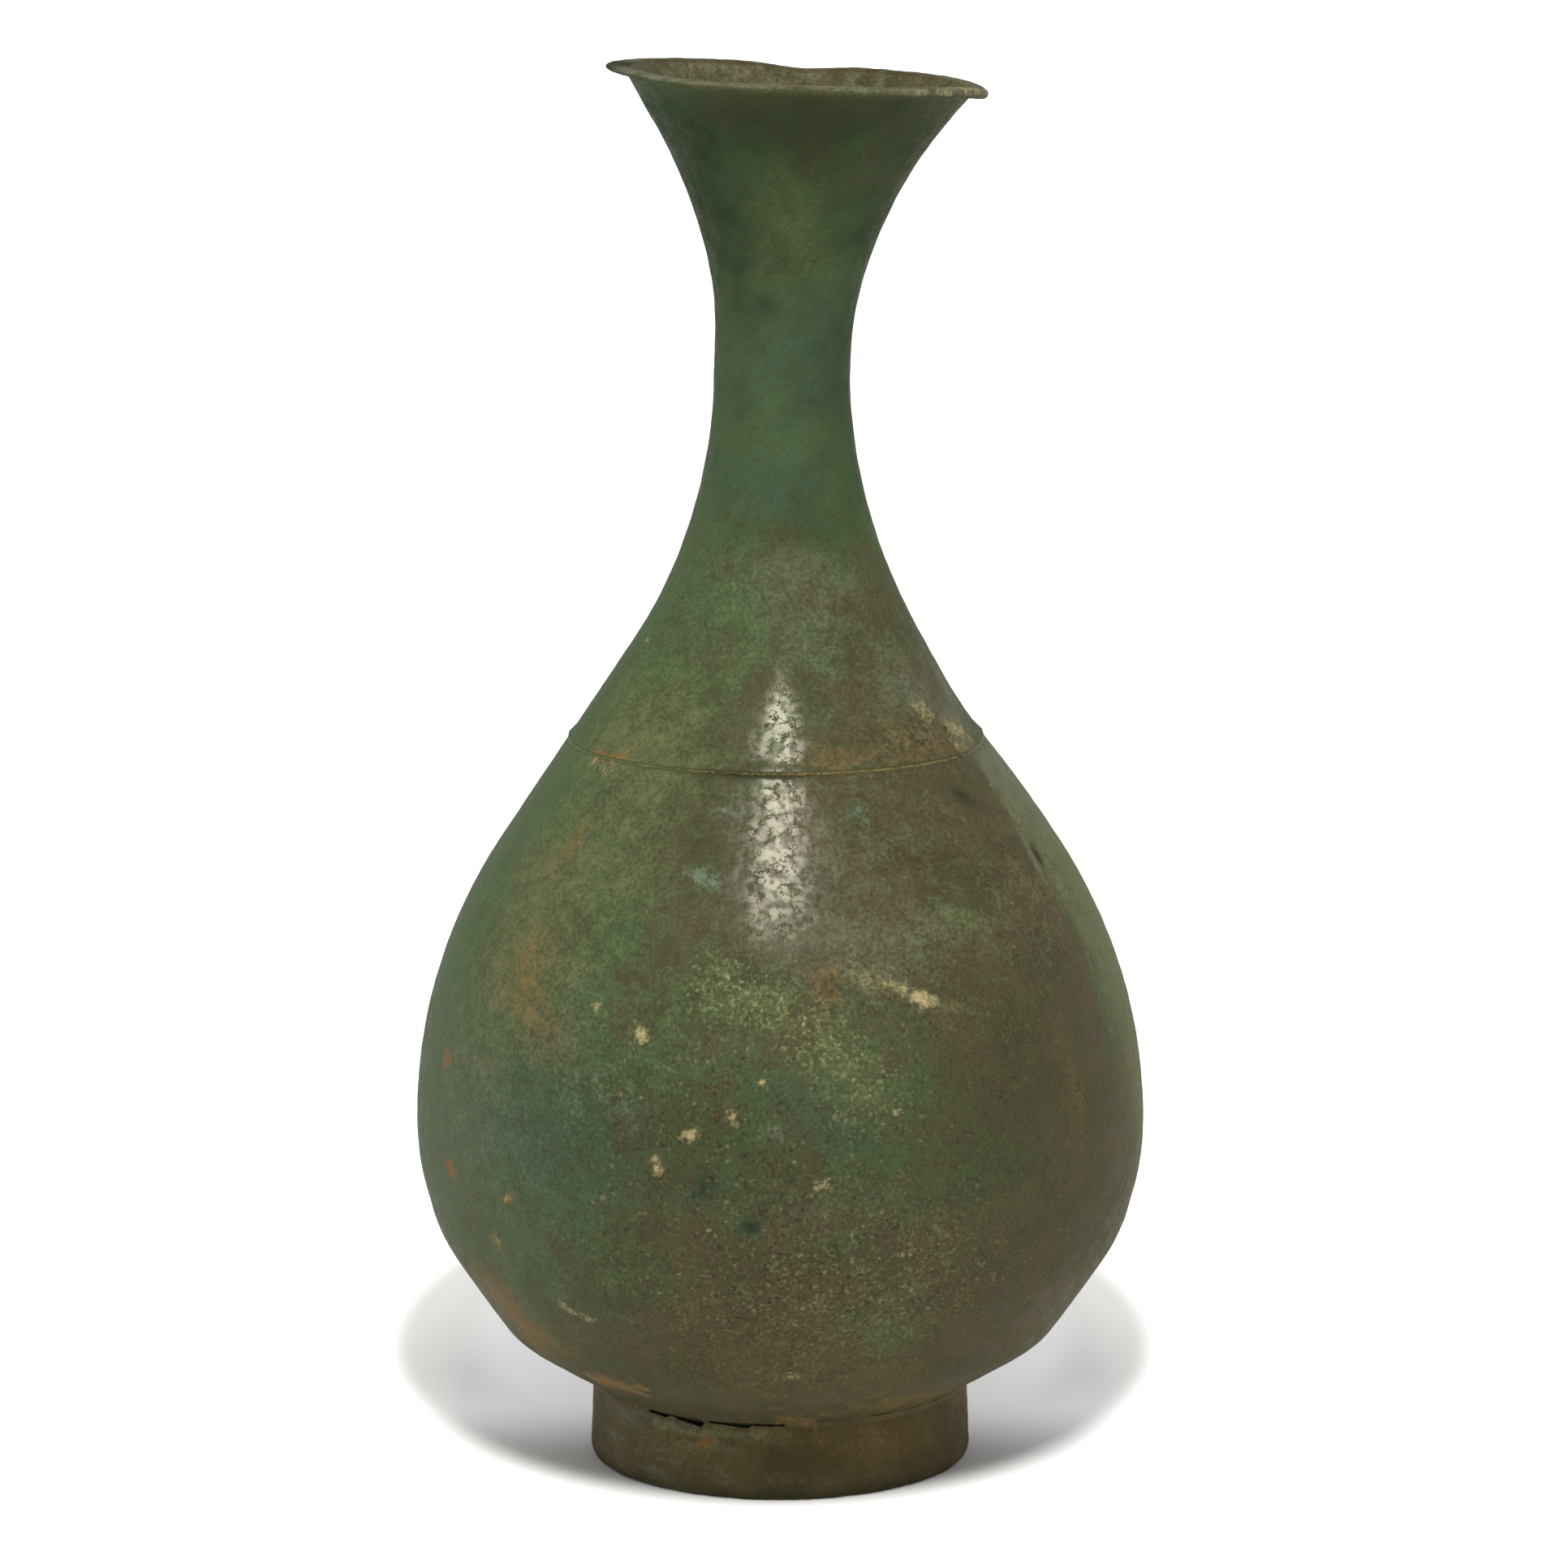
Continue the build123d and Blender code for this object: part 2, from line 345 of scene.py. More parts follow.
# %% Foot shell
FOOT_WALL = 3.0 * MM
FOOT_RADIUS = 43.7 * MM
TREAD_REACH = 2.0 * MM
TREAD_CORNER = 0.1 * MM  # the corner before its rounding lies this far outside the CAD box
TREAD_EASE = 0.5 * MM
EASE_REACH = 0.9 * TREAD_EASE
FOOT_STEP = 0.55 * MM
FOOT_SEGMENTS = 600
base_slope = (CARINATION[1] - floor_height) / (CARINATION[0] - FLOOR_RADIUS)


def base_height(radius):
    """Height of the cone under the body at a radius."""
    return CARINATION[1] + (radius - CARINATION[0]) * base_slope


foot_bore = FOOT_RADIUS - FOOT_WALL
foot_bed = base_height(FOOT_RADIUS) - foot_high.z
foot_inside = at(foot_bore, base_height(foot_bore) - foot_bed)
tread_inside = at(foot_bore + TREAD_EASE, 0)
pen = Pen(tread_inside)
pen.rounded([at(foot_high.x + TREAD_CORNER, 0), at(FOOT_RADIUS, foot_high.z), foot_inside],
            [TREAD_REACH, EDGE_REACH], FOOT_STEP)
pen.go_inside()
pen.rounded([at(foot_bore, 0), tread_inside], [EASE_REACH], INNER_STEP / 2)
foot_shell = turn_shell(pen, FOOT_SEGMENTS, "foot_shell", "foot_ring")

# %% [markdown]
# ## The solder line round the shoulder
# Solder fills the lap and shows as a fine pale line. It is a ring turned from its own small profile:
# a low bead under the neck's edge, and a thin layer that runs up between neck and body.

# %% Shoulder seam
SOLDER_STEP = 0.4 * MM
SEAM_SEGMENTS = 360
LAP_GAP = 0.2 * MM
LINE_LOW = -0.25 * MM  # the bead starts this far below the seam
LINE_HIGH = SEAM_LINE + 0.2 * MM
LOW_PROUD = 0.12 * MM  # how far it stands out at its lower edge
HIGH_PROUD = 0.2 * MM
SOFT_REACH = 0.2 * MM
FINE_REACH = 0.1 * MM
SHARP_REACH = 0.05 * MM

lap_skin = LAP_DEPTH - LAP_GAP
pen = Pen(on_cone(LINE_LOW, LAP_DEPTH))
pen.rounded([on_cone(LINE_LOW, -LOW_PROUD), on_cone(LINE_HIGH, -HIGH_PROUD), on_cone(LINE_HIGH, lap_skin),
             on_cone(LAP_LENGTH, lap_skin), on_cone(LAP_LENGTH, LAP_DEPTH), on_cone(LINE_LOW, LAP_DEPTH)],
            [SOFT_REACH, SOFT_REACH, FINE_REACH, SHARP_REACH, SHARP_REACH], SOLDER_STEP)
shoulder_seam = turn_shell(pen, SEAM_SEGMENTS, "shoulder_seam", "shoulder_solder")

# %% [markdown]
# ## The solder bed of the foot
# Under the body the solder is a thin bed on top of the foot, with a small bead outside and a run
# inside. It is drawn round in one go and turned like the rest.

# %% Foot seam
FOOT_SOLDER_LEG = 2.0 * MM
BEAD_LEG = 0.8 * MM
BEAD_PROUD = 0.12 * MM
BEAD_SUNK = 0.3 * MM  # the bead's back lies this far inside the foot's outer face
RUN_REACH = 0.3 * MM

bead_toe = FOOT_RADIUS + BEAD_LEG
bead_back = FOOT_RADIUS - BEAD_SUNK
bead_low = foot_high.z - BEAD_LEG
run_toe = foot_bore - FOOT_SOLDER_LEG
pen = Pen(at(bead_back, base_height(FOOT_RADIUS)))
pen.rounded([at(bead_toe, base_height(bead_toe)), at(FOOT_RADIUS + BEAD_PROUD, bead_low),
             at(bead_back, bead_low), at(bead_back, foot_high.z - BEAD_SUNK),
             foot_inside, foot_inside - at(0, FOOT_SOLDER_LEG),
             at(run_toe, base_height(run_toe)), at(bead_back, base_height(FOOT_RADIUS))],
            [FINE_REACH, SHARP_REACH, SHARP_REACH, FINE_REACH, FINE_REACH, RUN_REACH, RUN_REACH],
            SOLDER_STEP)
foot_seam = turn_shell(pen, SEAM_SEGMENTS, "foot_seam", "foot_solder")

shells = {"body": body_shell, "neck": neck_shell, "foot": foot_shell, "seam": shoulder_seam,
          "foot_seam": foot_seam}

# %% [markdown]
# ## Stains, placed like a map
# The patina is not random: rust has run down the left shoulder, the neck is the greenest part, and
# the belly has a pale scar. Each mark is written as a place on the bottle: degrees round from the
# front, with the right side positive, and millimetres over the table. Then come its half width and
# half height in millimetres, its strength, and its tilt in degrees where it has one. The marks of
# a finish are listed by where they lie or what they are. The first four finishes colour the ground.

# %% Greens, rust and lime
STAINS = {}
STAINS["green"] = dict(
    neck=[(0, 244, 80, 24, 0.85), (180, 244, 80, 24, 0.85), (60, 258, 14, 22, 0.5)],
    trumpet=[(0, 294, 50, 22, 0.72), (-58, 300, 18, 24, 0.7)],
    cone=[(-64, 188, 24, 26, 0.75)],
    flank=[(-70, 140, 40, 44, 0.75), (-62, 92, 40, 34, 0.75), (-42, 60, 18, 14, 0.3)],
    belly=[(-12, 108, 22, 20, 0.35), (10, 105, 16, 14, 0.5), (24, 90, 22, 16, 0.34)],
    shoulder=[(34.7, 138.3, 8.5, 4.2, 0.52), (-36, 142, 10, 17, 0.34)],
    base=[(17.2, 49.8, 9, 9, 0.6)],
    back=[(165, 150, 46, 34, 0.8, 10), (-140, 84, 52, 34, 0.8, -12)],
)
STAINS["teal"] = dict(
    neck=[(-14, 230, 16, 9, 0.65), (8, 262, 14, 12, 0.5), (4, 250, 22, 26, 0.34),
          (50, 262, 10, 16, 0.35)],
    flank=[(-50, 93, 28, 22, 0.55), (-34, 88, 20, 18, 0.4)],
    trumpet=[(-41, 297, 8, 14, 0.6)],
    lip=[(-66, 314, 10, 9, 0.5)],
    flecks=[(-15, 148.6, 5.5, 2.6, 0.7, -20), (18.5, 161.7, 2.6, 1.8, 0.6)],
    belly=[(1, 104, 9, 6, 0.55), (8, 96, 7, 4.5, 0.45), (15, 93, 14, 11, 0.34)],
    back=[(150, 110, 26, 40, 0.6, 12), (-170, 225, 16, 16, 0.6)],
    dots=[(-4.3, 75.1, 2.6, 1.9, 0.9), (-11.5, 83.5, 2.4, 3, 0.7)],
)
STAINS["rust"] = dict(
    streak=[(-49.6, 155, 2.6, 5, 0.34, -20), (-51, 149, 3, 7, 0.28, -15), (-48, 131, 6, 7, 0.3),
            (-48.4, 123, 7, 9, 0.32, -10), (-44.5, 117, 8, 7, 0.27, -20), (-38, 112, 9, 9, 0.22, -40)],
    dots=[(-66.9, 101.2, 2.6, 2.8, 0.9), (-62.5, 77.5, 2, 5, 0.9, 45), (-46, 75, 2.6, 2.3, 0.75),
          (-50.7, 63.9, 1.7, 2.8, 0.55)],
    base=[(-60, 47, 9, 9, 0.55), (-56, 38, 9, 6, 0.5), (4, 40, 34, 13, 0.24), (5, 52, 44, 22, 0.15),
          (62, 56, 20, 24, 0.14)],
    seam=[(-52, 170.2, 7, 1.4, 0.9), (14, 172.5, 12, 3, 0.42), (44, 171.6, 14, 1.6, 0.5)],
    collar=[(-38.5, 28.3, 8, 3.2, 1), (4, 19.6, 7, 1.8, 0.6), (33, 23.5, 20, 4, 0.42),
            (-38, 27.9, 6, 2.4, 0.8)],
    foot=[(-20.5, 13, 3, 1.5, 0.9, 15), (37, 12, 14, 6, 0.34), (3, 15, 12, 3, 0.2)],
    flank=[(8, 127.5, 4, 5, 0.42), (56, 143, 8, 12, 0.28, 10), (52, 98, 6, 12, 0.26, 10)],
    back=[(-128, 128, 5, 26, 0.5, 8), (172, 92, 3, 3, 0.8), (140, 44, 16, 8, 0.5)],
)
STAINS["lime"] = dict(
    belly=[(-9, 127, 7, 6, 0.72), (-3, 123, 7.5, 4.5, 0.72, -25), (4, 118.5, 7.5, 4.5, 0.76, -35),
           (9.5, 111.5, 8, 6, 0.98, -35), (13.5, 103.5, 7, 6, 0.92, -20), (-22, 112, 16, 14, 0.24)],
    base=[(17, 50, 8, 8, 0.55), (0, 54, 16, 14, 0.4), (24, 66, 14, 8, 0.4)],
    back=[(178, 112, 26, 18, 0.6, 20)],
)
print("marks so far", {finish: sum(map(len, parts.values())) for finish, parts in STAINS.items()})

# %% [markdown]
# ## Scabs, soot and painted shade, greys and wear
# The smaller finishes are placed in the same way: cream scabs, blistered crust, soot, two paler greens
# and a grey. Some of the soot is painted shade: in creases, down the sides of the neck and round the
# foot by the table. The last two aren't colours: polish is where hands have worn the skin smooth, and
# grit is where specks and pits show.

# %% Scabs, soot and painted shade, greys and wear
STAINS["cream"] = dict(
    scar=[(14, 128.6, 4.6, 1.2, 0.12, -14), (19, 126.2, 6, 1.5, 0.55, -18),
          (24.5, 123.4, 3.4, 1.4, 0.85, -18), (12.6, 133.3, 0.9, 1.8, 0.3)],
    chips=[(-22.4, 115.4, 1.8, 2, 0.9), (-6.8, 98.9, 2.1, 1.7, 0.9, -30), (-13.6, 95.2, 1.8, 1.5, 0.62),
           (-18.9, 87.5, 1.3, 1.8, 0.7, 20), (-21.2, 77.1, 0.7, 0.8, 0.5), (-31.6, 120.4, 1.1, 1.1, 0.6),
           (-2.6, 107, 1.1, 0.9, 0.7)],
    base=[(-37, 49.2, 5.5, 1.2, 0.55, -18), (2.3, 36.9, 1.9, 1.2, 0.6)],
    cone=[(-68, 194, 0.7, 1.2, 0.4)],
    crust=[(52, 179.5, 3.6, 2.4, 0.34), (63, 174.5, 4.2, 3.2, 0.5), (67.5, 173.9, 3, 2, 0.35)],
    back=[(160, 132, 1.6, 1.3, 0.7), (-150, 70, 1.3, 1.6, 0.6)],
    belly=[(17.9, 99.9, 1.2, 1.1, 0.6), (7.1, 84.5, 2.4, 1.3, 0.34)],
    dots=[(-46, 75, 1.8, 1.6, 0.34), (-50.7, 63.9, 1.3, 2.2, 0.34)],
    seam=[(-53, 168.4, 4, 2, 0.25)],
)
STAINS["crust"] = dict(
    seam=[(46, 175, 13, 4.6, 0.85), (54, 173.5, 6, 3.5, 0.5), (28, 174.5, 7, 3, 0.5)],
    scar=[(27, 117, 7, 4, 0.4)],
    back=[(-150, 176, 18, 5, 0.8)],
)
STAINS["soot_and_shade"] = dict(
    trumpet=[(0, 304, 70, 24, 0.26), (12, 313, 38, 8, 0.34), (-60, 300, 20, 22, 0.1),
             (60, 300, 20, 24, 0.12), (180, 302, 60, 24, 0.4)],
    # the neck marks at 78 and -84 degrees are painted shade down the two sides of the neck
    neck=[(0, 246, 44, 30, 0.08), (78, 248, 16, 34, 0.36), (-84, 270, 16, 40, 0.25),
          (14, 219, 16, 5, 0.25), (0, 222, 50, 12, 0.1)],
    belly=[(-4, 90, 46, 20, 0.27), (36, 98, 26, 26, 0.3), (-20, 98, 24, 16, 0.18)],
    base=[(0, 36, 70, 14, 0.16)],
    shoulder=[(-20, 154, 9, 6, 0.22)],
    # the dent marks are painted shade in the fold and in the groove beside the dent
    dent=[(55, 159.2, 5.5, 1.7, 0.3, -22), (50, 162.4, 3.4, 1.7, 0.42, -25),
          (67.4, 146.1, 1.6, 3, 0.8, -12)],
    dots=[(-4.3, 75.1, 2.2, 1.5, 0.66), (-11.5, 83.5, 1.8, 2.4, 0.36)],
    # the foot marks are painted shade round the lower foot, darkest where it meets the table
    foot=[(0, 5, 90, 6, 0.2), (0, 0.5, 90, 2.5, 0.5)],
    flank=[(54, 152, 9, 10, 0.16)],
    seam=[(-10, 169.5, 16, 1.3, 0.55)],
)
STAINS["pale"] = dict(
    trumpet=[(3, 291, 10, 13, 0.36)],
    cone=[(-52, 180, 16, 11, 0.46), (-26, 170, 9, 7, 0.36)],
    shoulder=[(-40, 152, 15, 14, 0.36), (34.7, 138.3, 7, 3.5, 0.42)],
    flank=[(-54, 136, 16, 24, 0.54), (-58, 104, 16, 14, 0.2), (80, 95, 14, 34, 0.6)],
    scar=[(17, 127.2, 8.5, 2.2, 0.75, -16), (30, 121, 5, 1.8, 0.55, -18)],
    flecks=[(-15, 148.6, 4, 1.8, 0.5, -20)],
    foot=[(-30, 15.6, 7, 0.8, 0.75), (-14, 16.2, 7, 0.7, 0.6), (-36, 9, 15, 7, 0.22),
          (-24, 13.5, 13, 3.5, 0.4)],
    back=[(120, 150, 24, 20, 0.4)],
    streak=[(-48, 124, 9, 12, 0.3)],
    seam=[(-52, 172, 8, 3, 0.5)],
)
STAINS["ash"] = dict(
    cone=[(8, 200, 20, 14, 0.25), (82, 182, 7, 9, 0.6), (50, 184, 9, 7, 0.55)],
    shoulder=[(12, 150, 22, 20, 0.4), (16, 134, 24, 6, 0.35)],
    # the dent mark is a painted highlight along the lit edge of the groove
    dent=[(64.3, 148.2, 0.8, 6.2, 0.9, -10)],
    belly=[(8, 78, 26, 8, 0.3)],
    crust=[(66, 175.5, 5.5, 5, 0.9)],
    neck=[(10, 212, 16, 8, 0.28)],
    flank=[(-58, 90, 27, 30, 0.44), (-42, 62, 18, 14, 0.2), (58, 137, 14, 14, 0.22),
           (-39, 115, 9, 9, 0.22)],
    foot=[(-55, 15.5, 10, 3, 0.5), (-5, 4, 50, 4, 0.22), (-12, 15.5, 16, 2.5, 0.34)],
)
STAINS["verdigris"] = dict(
    flecks=[(-16, 148.8, 4, 1.8, 0.85, -20), (-12.5, 147.2, 3, 1.3, 0.7, -30),
            (18.5, 161.7, 1.3, 0.9, 0.6)],
    belly=[(-26, 100, 12, 9, 0.22), (-1, 96, 3.6, 2.6, 0.5), (10, 100, 2.4, 2, 0.5)],
    back=[(165, 120, 4, 3, 0.7)],
    shoulder=[(-11, 162, 3.5, 4, 0.3)],
)
STAINS["polish"] = dict(
    cone=[(0, 190, 1.2, 4, 0.22), (0, 182, 2.8, 5, 0.95), (0, 174.5, 5.4, 4.5, 0.95),
          (-2, 180, 10, 12, 0.22)],
    shoulder=[(0.8, 165, 5, 5, 0.82), (-0.4, 156, 7.6, 6, 0.74), (-1.4, 148.2, 10, 5.5, 0.56),
              (0, 139, 12, 7, 0.36), (-11, 160, 5, 6, 0.4), (-4, 156, 16, 18, 0.25)],
    flank=[(36, 142, 24, 30, 0.12)],
    back=[(-165, 140, 40, 30, 0.3)],
)
STAINS["grit"] = dict(
    belly=[(-4, 98, 44, 24, 0.9), (8, 60, 46, 20, 1)],
    shoulder=[(30, 140, 40, 30, 0.35)],
    cone=[(20, 190, 40, 20, 0.16)],
    neck=[(0, 240, 60, 30, 0.22)],
    foot=[(-30, 6, 30, 8, 0.2)],
    back=[(180, 90, 120, 60, 0.6)],
)
print("marks", {finish: sum(map(len, parts.values())) for finish, parts in STAINS.items()})

# %% [markdown]
# ## Fields of place
# Dents, stains and grit need the same few tools: a smooth hill, a smooth step, a field of soft noise,
# and the bearing of a point round the axis. Each works on whole arrays of points.

# %% Hills, steps and clouds
WAVES = 40  # plane waves that add up to one field of noise
WAVE_LENGTHS = (1.0, 3.2)  # their shortest and longest, in sizes of a feature


def bell(distance):
    """A smooth hill: 1 in the middle, about a third at 1, nothing past 3."""
    return np.exp(-np.square(distance))


def ramp(value, low, high):
    """A smooth step from 0 at low to 1 at high."""
    share = np.clip((value - low) / (high - low), 0, 1)
    return share * share * (3 - 2 * share)


def clouds(points, size, seed):
    """Smooth noise from about -1 to 1 with features of this size, as a sum of random plane waves."""
    chance = np.random.default_rng(seed)
    total = np.zeros(len(points))
    for _ in range(WAVES):
        heading = chance.normal(size=3)
        heading *= 2 * pi / (np.linalg.norm(heading) * size * chance.uniform(*WAVE_LENGTHS))
        total += np.sin(points @ heading + chance.uniform(0, 2 * pi))
    return total / np.sqrt(WAVES)


def round_from_front(points):
    """Degrees round the axis from the front, positive to the right."""
    return np.degrees(np.arctan2(points[:, 0], -points[:, 1]))


def apart(one, two):
    """Smallest difference between two bearings in degrees."""
    return (one - two + 180) % 360 - 180


def hill(bearing, height, place):
    """A hill on the skin: bearing and width in degrees, then height, reach and rise in millimetres."""
    middle, width, level, reach, rise = place
    return MM * rise * bell(apart(bearing, middle) / width) * bell((height - level) / reach)


print("a field of noise adds up", WAVES, "waves")

# %% [markdown]
# ## How old sheet has moved
# The right shoulder has a shallow dent with a groove and a fold beside it, and a flat facet runs down
# from them. The neck has slumped a little, and hammer marks ripple the whole skin. These moves are one
# function of place and used on every shell, so the pieces still meet at their seams. Most go inwards,
# and the swells lie where the bottle is narrow, so it stays inside the CAD box.

# %% Dents and waves
RIPPLE = 0.20 * MM
RIPPLE_SIZE = 26 * MM
RIPPLE_FADE = (20, 60)  # heights between which the ripples come in
DENT = (86, 30, 177, 15, 2.1)
GROOVE = (67.4, 2.0, 147, 6, 0.7)
GROOVE_LEAN = 0.24  # degrees for each millimetre up
GROOVE_LEVEL = 146
FOLD = (53, 7, 160.2, 1.8, 0.4)
FOLD_LEAN = 0.42  # millimetres down for each degree round
FACET = (80, 26, 135, 30, 0.3)
FACET_EDGE = 64  # bearing where the facet starts
FACET_FADE = 7
SLUMP = (250, 36, 0.4)  # height, reach and shift to the right
# height, width and rise of each swell
SWELLS = {"neck_low": (225, 24, 0.50), "waist": (268, 25, 0.25), "base": (36, 17, 0.80)}
SWELL_FADE = (20, 26)


def settle(points):
    """Move points as the old sheet has moved."""
    height = points[:, 2] / MM
    bearing = round_from_front(points)
    ripples = np.clip(0.5 + 0.4 * clouds(points, RIPPLE_SIZE, seed=1), 0, 1)
    inwards = RIPPLE * ripples * ramp(height, *RIPPLE_FADE)
    inwards += hill(bearing, height, DENT)
    inwards += hill(bearing + GROOVE_LEAN * (height - GROOVE_LEVEL), height, GROOVE)
    inwards += hill(bearing, height + FOLD_LEAN * (bearing - FOLD[0]), FOLD)
    inwards += hill(bearing, height, FACET) * ramp(apart(bearing, FACET_EDGE), 0, FACET_FADE)
    full = sum(rise * bell((height - level) / width) for level, width, rise in SWELLS.values())
    inwards -= MM * full * ramp(height, *SWELL_FADE)
    moved = points.copy()
    moved[:, :2] *= (1 - inwards / np.maximum(radius_of(points), MM))[:, None]
    level, reach, shift = SLUMP
    moved[:, 0] += MM * shift * bell((height - level) / reach)
    return moved


print("the dent is", DENT[-1], "mm deep")

# %% [markdown]
# ## The wavy lip
# Seen from the side the lip isn't flat: the back edge dips in the middle like the top of a heart, and
# the front edge sags left of the middle. A few hills and hollows round the rim, fading down the
# trumpet, give that shape. Each has a bearing, a width in degrees and a lift in millimetres.

# %% Wave the lip
RIM_HILLS = {
    "front_left_sag": (-34, 24, -0.5),
    "front_rise": (8, 50, 0.35),
    "back_dip": (178, 11, -1.0),
    "back_dip_wide": (178, 30, -0.4),
    "front_right_rise": (46, 40, 0.5),
    "right_droop": (92, 20, -0.9),
}
RIM_FADE = 22 * MM  # how far down the trumpet the waves reach
THIN_LEFT = (-86, 42, 1.1)  # the same numbers for what is taken off under the lip
THIN_FADE = 10 * MM


def wave_lip(points, upright):
    """Lift and lower the rim of the leaned neck, and thin the lip on its left."""
    bearing = round_from_front(upright)
    wave = sum(lift * bell(apart(bearing, middle) / width) for middle, width, lift in RIM_HILLS.values())
    waved = points.copy()
    waved[:, 2] += MM * wave * ramp(upright[:, 2], rim_height - RIM_FADE, rim_height)
    middle, width, taken = THIN_LEFT
    below = rim_height - upright[:, 2]
    under_lip = ramp(below, 0, LIP_THICKNESS) * (1 - ramp(below, LIP_THICKNESS, THIN_FADE))
    waved[:, 2] += MM * taken * bell(apart(bearing, middle) / width) * under_lip
    waved[:, 2] = np.minimum(waved[:, 2], neck_high.z)
    return waved


put_points(neck_shell, wave_lip(points_of(neck_shell), neck_upright))
for shell in shells.values():
    put_points(shell, settle(points_of(shell)))
top = points_of(neck_shell)[:, 2].max()
print("top of the lip", round(top / MM, 2), "of", round(neck_high.z / MM, 2), "mm")

# %% [markdown]
# ## Painting the stains into the mesh
# Every finish becomes one value at each vertex. A stain is an ellipse on the skin whose edge is
# broken by noise, so it fades out in tongues and islands as corrosion does. The material
# later reads these values by name.

# %% Stains to vertex values
ZONES = ("green", "teal", "pale", "ash", "soot_and_shade", "polish", "grit")  # finishes that fade out softly
SMALL_MARK = 4.0  # half size in millimetres below which a mark has a ragged edge
BIG_TONGUES = 9 * MM
SMALL_TONGUES = 2.6 * MM
SOFT_FALL = 0.85
SOFT_TONGUES = 0.12
SHARP_TONGUES = 0.25
SHARP_ISLANDS = 0.2
SHARP_EDGE = (0.35, 1.3)


def stain(points, mark, ragged, soft):
    """Strength of one stain at each point."""
    bearing, height, half_width, half_height, strength, *tilt = mark
    across = np.radians(apart(round_from_front(points), bearing)) * radius_of(points) / MM
    along = points[:, 2] / MM - height
    turn = radians(sum(tilt))
    u = (across * cos(turn) + along * sin(turn)) / half_width
    v = (along * cos(turn) - across * sin(turn)) / half_height
    out = np.sqrt(u * u + v * v)
    if soft:
        return strength * bell(SOFT_FALL * out * (1 + SOFT_TONGUES * ragged))
    edge = out * (1 + SHARP_TONGUES * ragged) + SHARP_ISLANDS * ragged
    return strength * (1 - ramp(edge, *SHARP_EDGE))


def paint(points):
    """One value at each point for each finish, and the noise that broke the edges."""
    big, small = clouds(points, BIG_TONGUES, seed=2), clouds(points, SMALL_TONGUES, seed=3)
    values = {}
    for finish, parts in STAINS.items():
        clear = np.ones(len(points))
        for mark in sum(parts.values(), []):
            soft = finish in ZONES or min(mark[2:4]) > SMALL_MARK
            ragged = big + 0.5 * small if soft else 0.8 * small
            clear *= 1 - np.clip(stain(points, mark, ragged, soft), 0, 1)
        values[finish] = 1 - clear
    return values, big, small


def at_least(values, finish, amount):
    """Raise a finish to this amount where it is lower."""
    values[finish] = np.maximum(values[finish], amount)


finishes = {name: paint(points_of(shell)) for name, shell in shells.items()}
print({name: len(found[0]) for name, found in finishes.items()})

# %% [markdown]
# ## The painted reflection on the right flank and the streaked foot
# Two finishes aren't ellipses. Right of a sharp line down the right flank a painted reflection of a
# white wall makes the skin paler and greener, and fine grey streaks run round the left of the foot.

# %% Band and streaks
BAND_EDGE = 62.5  # bearing of the sharp line
BAND_SOFT = 4.5  # degrees over which the band comes in at the shoulder
BAND_SOFTER = 0.17  # more of them for each millimetre below BAND_SHARP, down to BAND_DEPTH below it
BAND_SHARP = 150
BAND_DEPTH = 80
BAND_END = (86, 140)  # bearings between which it goes out
BAND_FOOT = (76, 118)  # heights between which it comes in
BAND_TOP = (167, 172)  # heights between which it goes out
BAND_GREY = (140, 165)  # heights between which it turns greyer
STRAY = 9
STRAY_SIZE = 30 * MM
STREAK_STRETCH = (1, 1, 6)  # noise squeezed in height leaves streaks that run round
STREAK_SIZE = 9 * MM
STREAK_SIDE = (-44, 34)  # bearing and width


def painted_reflection_band(values, points):
    """Paint a reflection of a white wall as a pale, greener band on the right flank."""
    bearing = round_from_front(points)
    height = points[:, 2] / MM
    strays = STRAY * clouds(points, STRAY_SIZE, seed=6)
    soft = BAND_SOFT + BAND_SOFTER * np.clip(BAND_SHARP - height, 0, BAND_DEPTH)
    band = np.clip((bearing - BAND_EDGE) / soft, 0, 1) * (1 - ramp(bearing + strays, *BAND_END))
    band *= ramp(height + strays, *BAND_FOOT) * (1 - ramp(height, *BAND_TOP))
    # painted reflection of a white wall: pale olive, greyer higher up, and green
    at_least(values, "pale", 0.58 * band)
    at_least(values, "ash", (0.22 + 0.34 * ramp(height, *BAND_GREY)) * band)
    at_least(values, "green", 0.60 * band)


def foot_streaks(values, points):
    """Paint the grey streaks on the foot."""
    middle, width = STREAK_SIDE
    side = bell(apart(round_from_front(points), middle) / width)
    streaks = clouds(points * STREAK_STRETCH, STREAK_SIZE, seed=7)
    at_least(values, "ash", side * np.clip(0.28 + 0.26 * streaks, 0, 1))


foot_streaks(finishes["foot"][0], points_of(foot_shell))
painted_reflection_band(finishes["body"][0], points_of(body_shell))
print("pale band from bearing", BAND_EDGE, "and streaks about", STREAK_SIDE[0])

# %% [markdown]
# ## Finish of the lip and the bore
# The flat top of the lip is worn to a pale grey olive and the inside of the trumpet is brown. Both
# follow the drawn profile, so they are found on the upright neck, before it leaned. At the front left
# only the top line of the lip is worn, and the two tips of the lip, where it turns away at the sides,
# are darkened with painted shade.

# %% Lip and bore
LEFT_TIP = -91  # bearings
RIGHT_TIP = 98
LIP_LIGHT = 68
FRONT_ENDS = (95, 130)
RIGHT_STARTS = (5, 45)

upright_height = neck_upright[:, 2]
upright_bearing = round_from_front(neck_upright)
outside = skin_of(neck_shell)
neck_values, big, small = finishes["neck"]

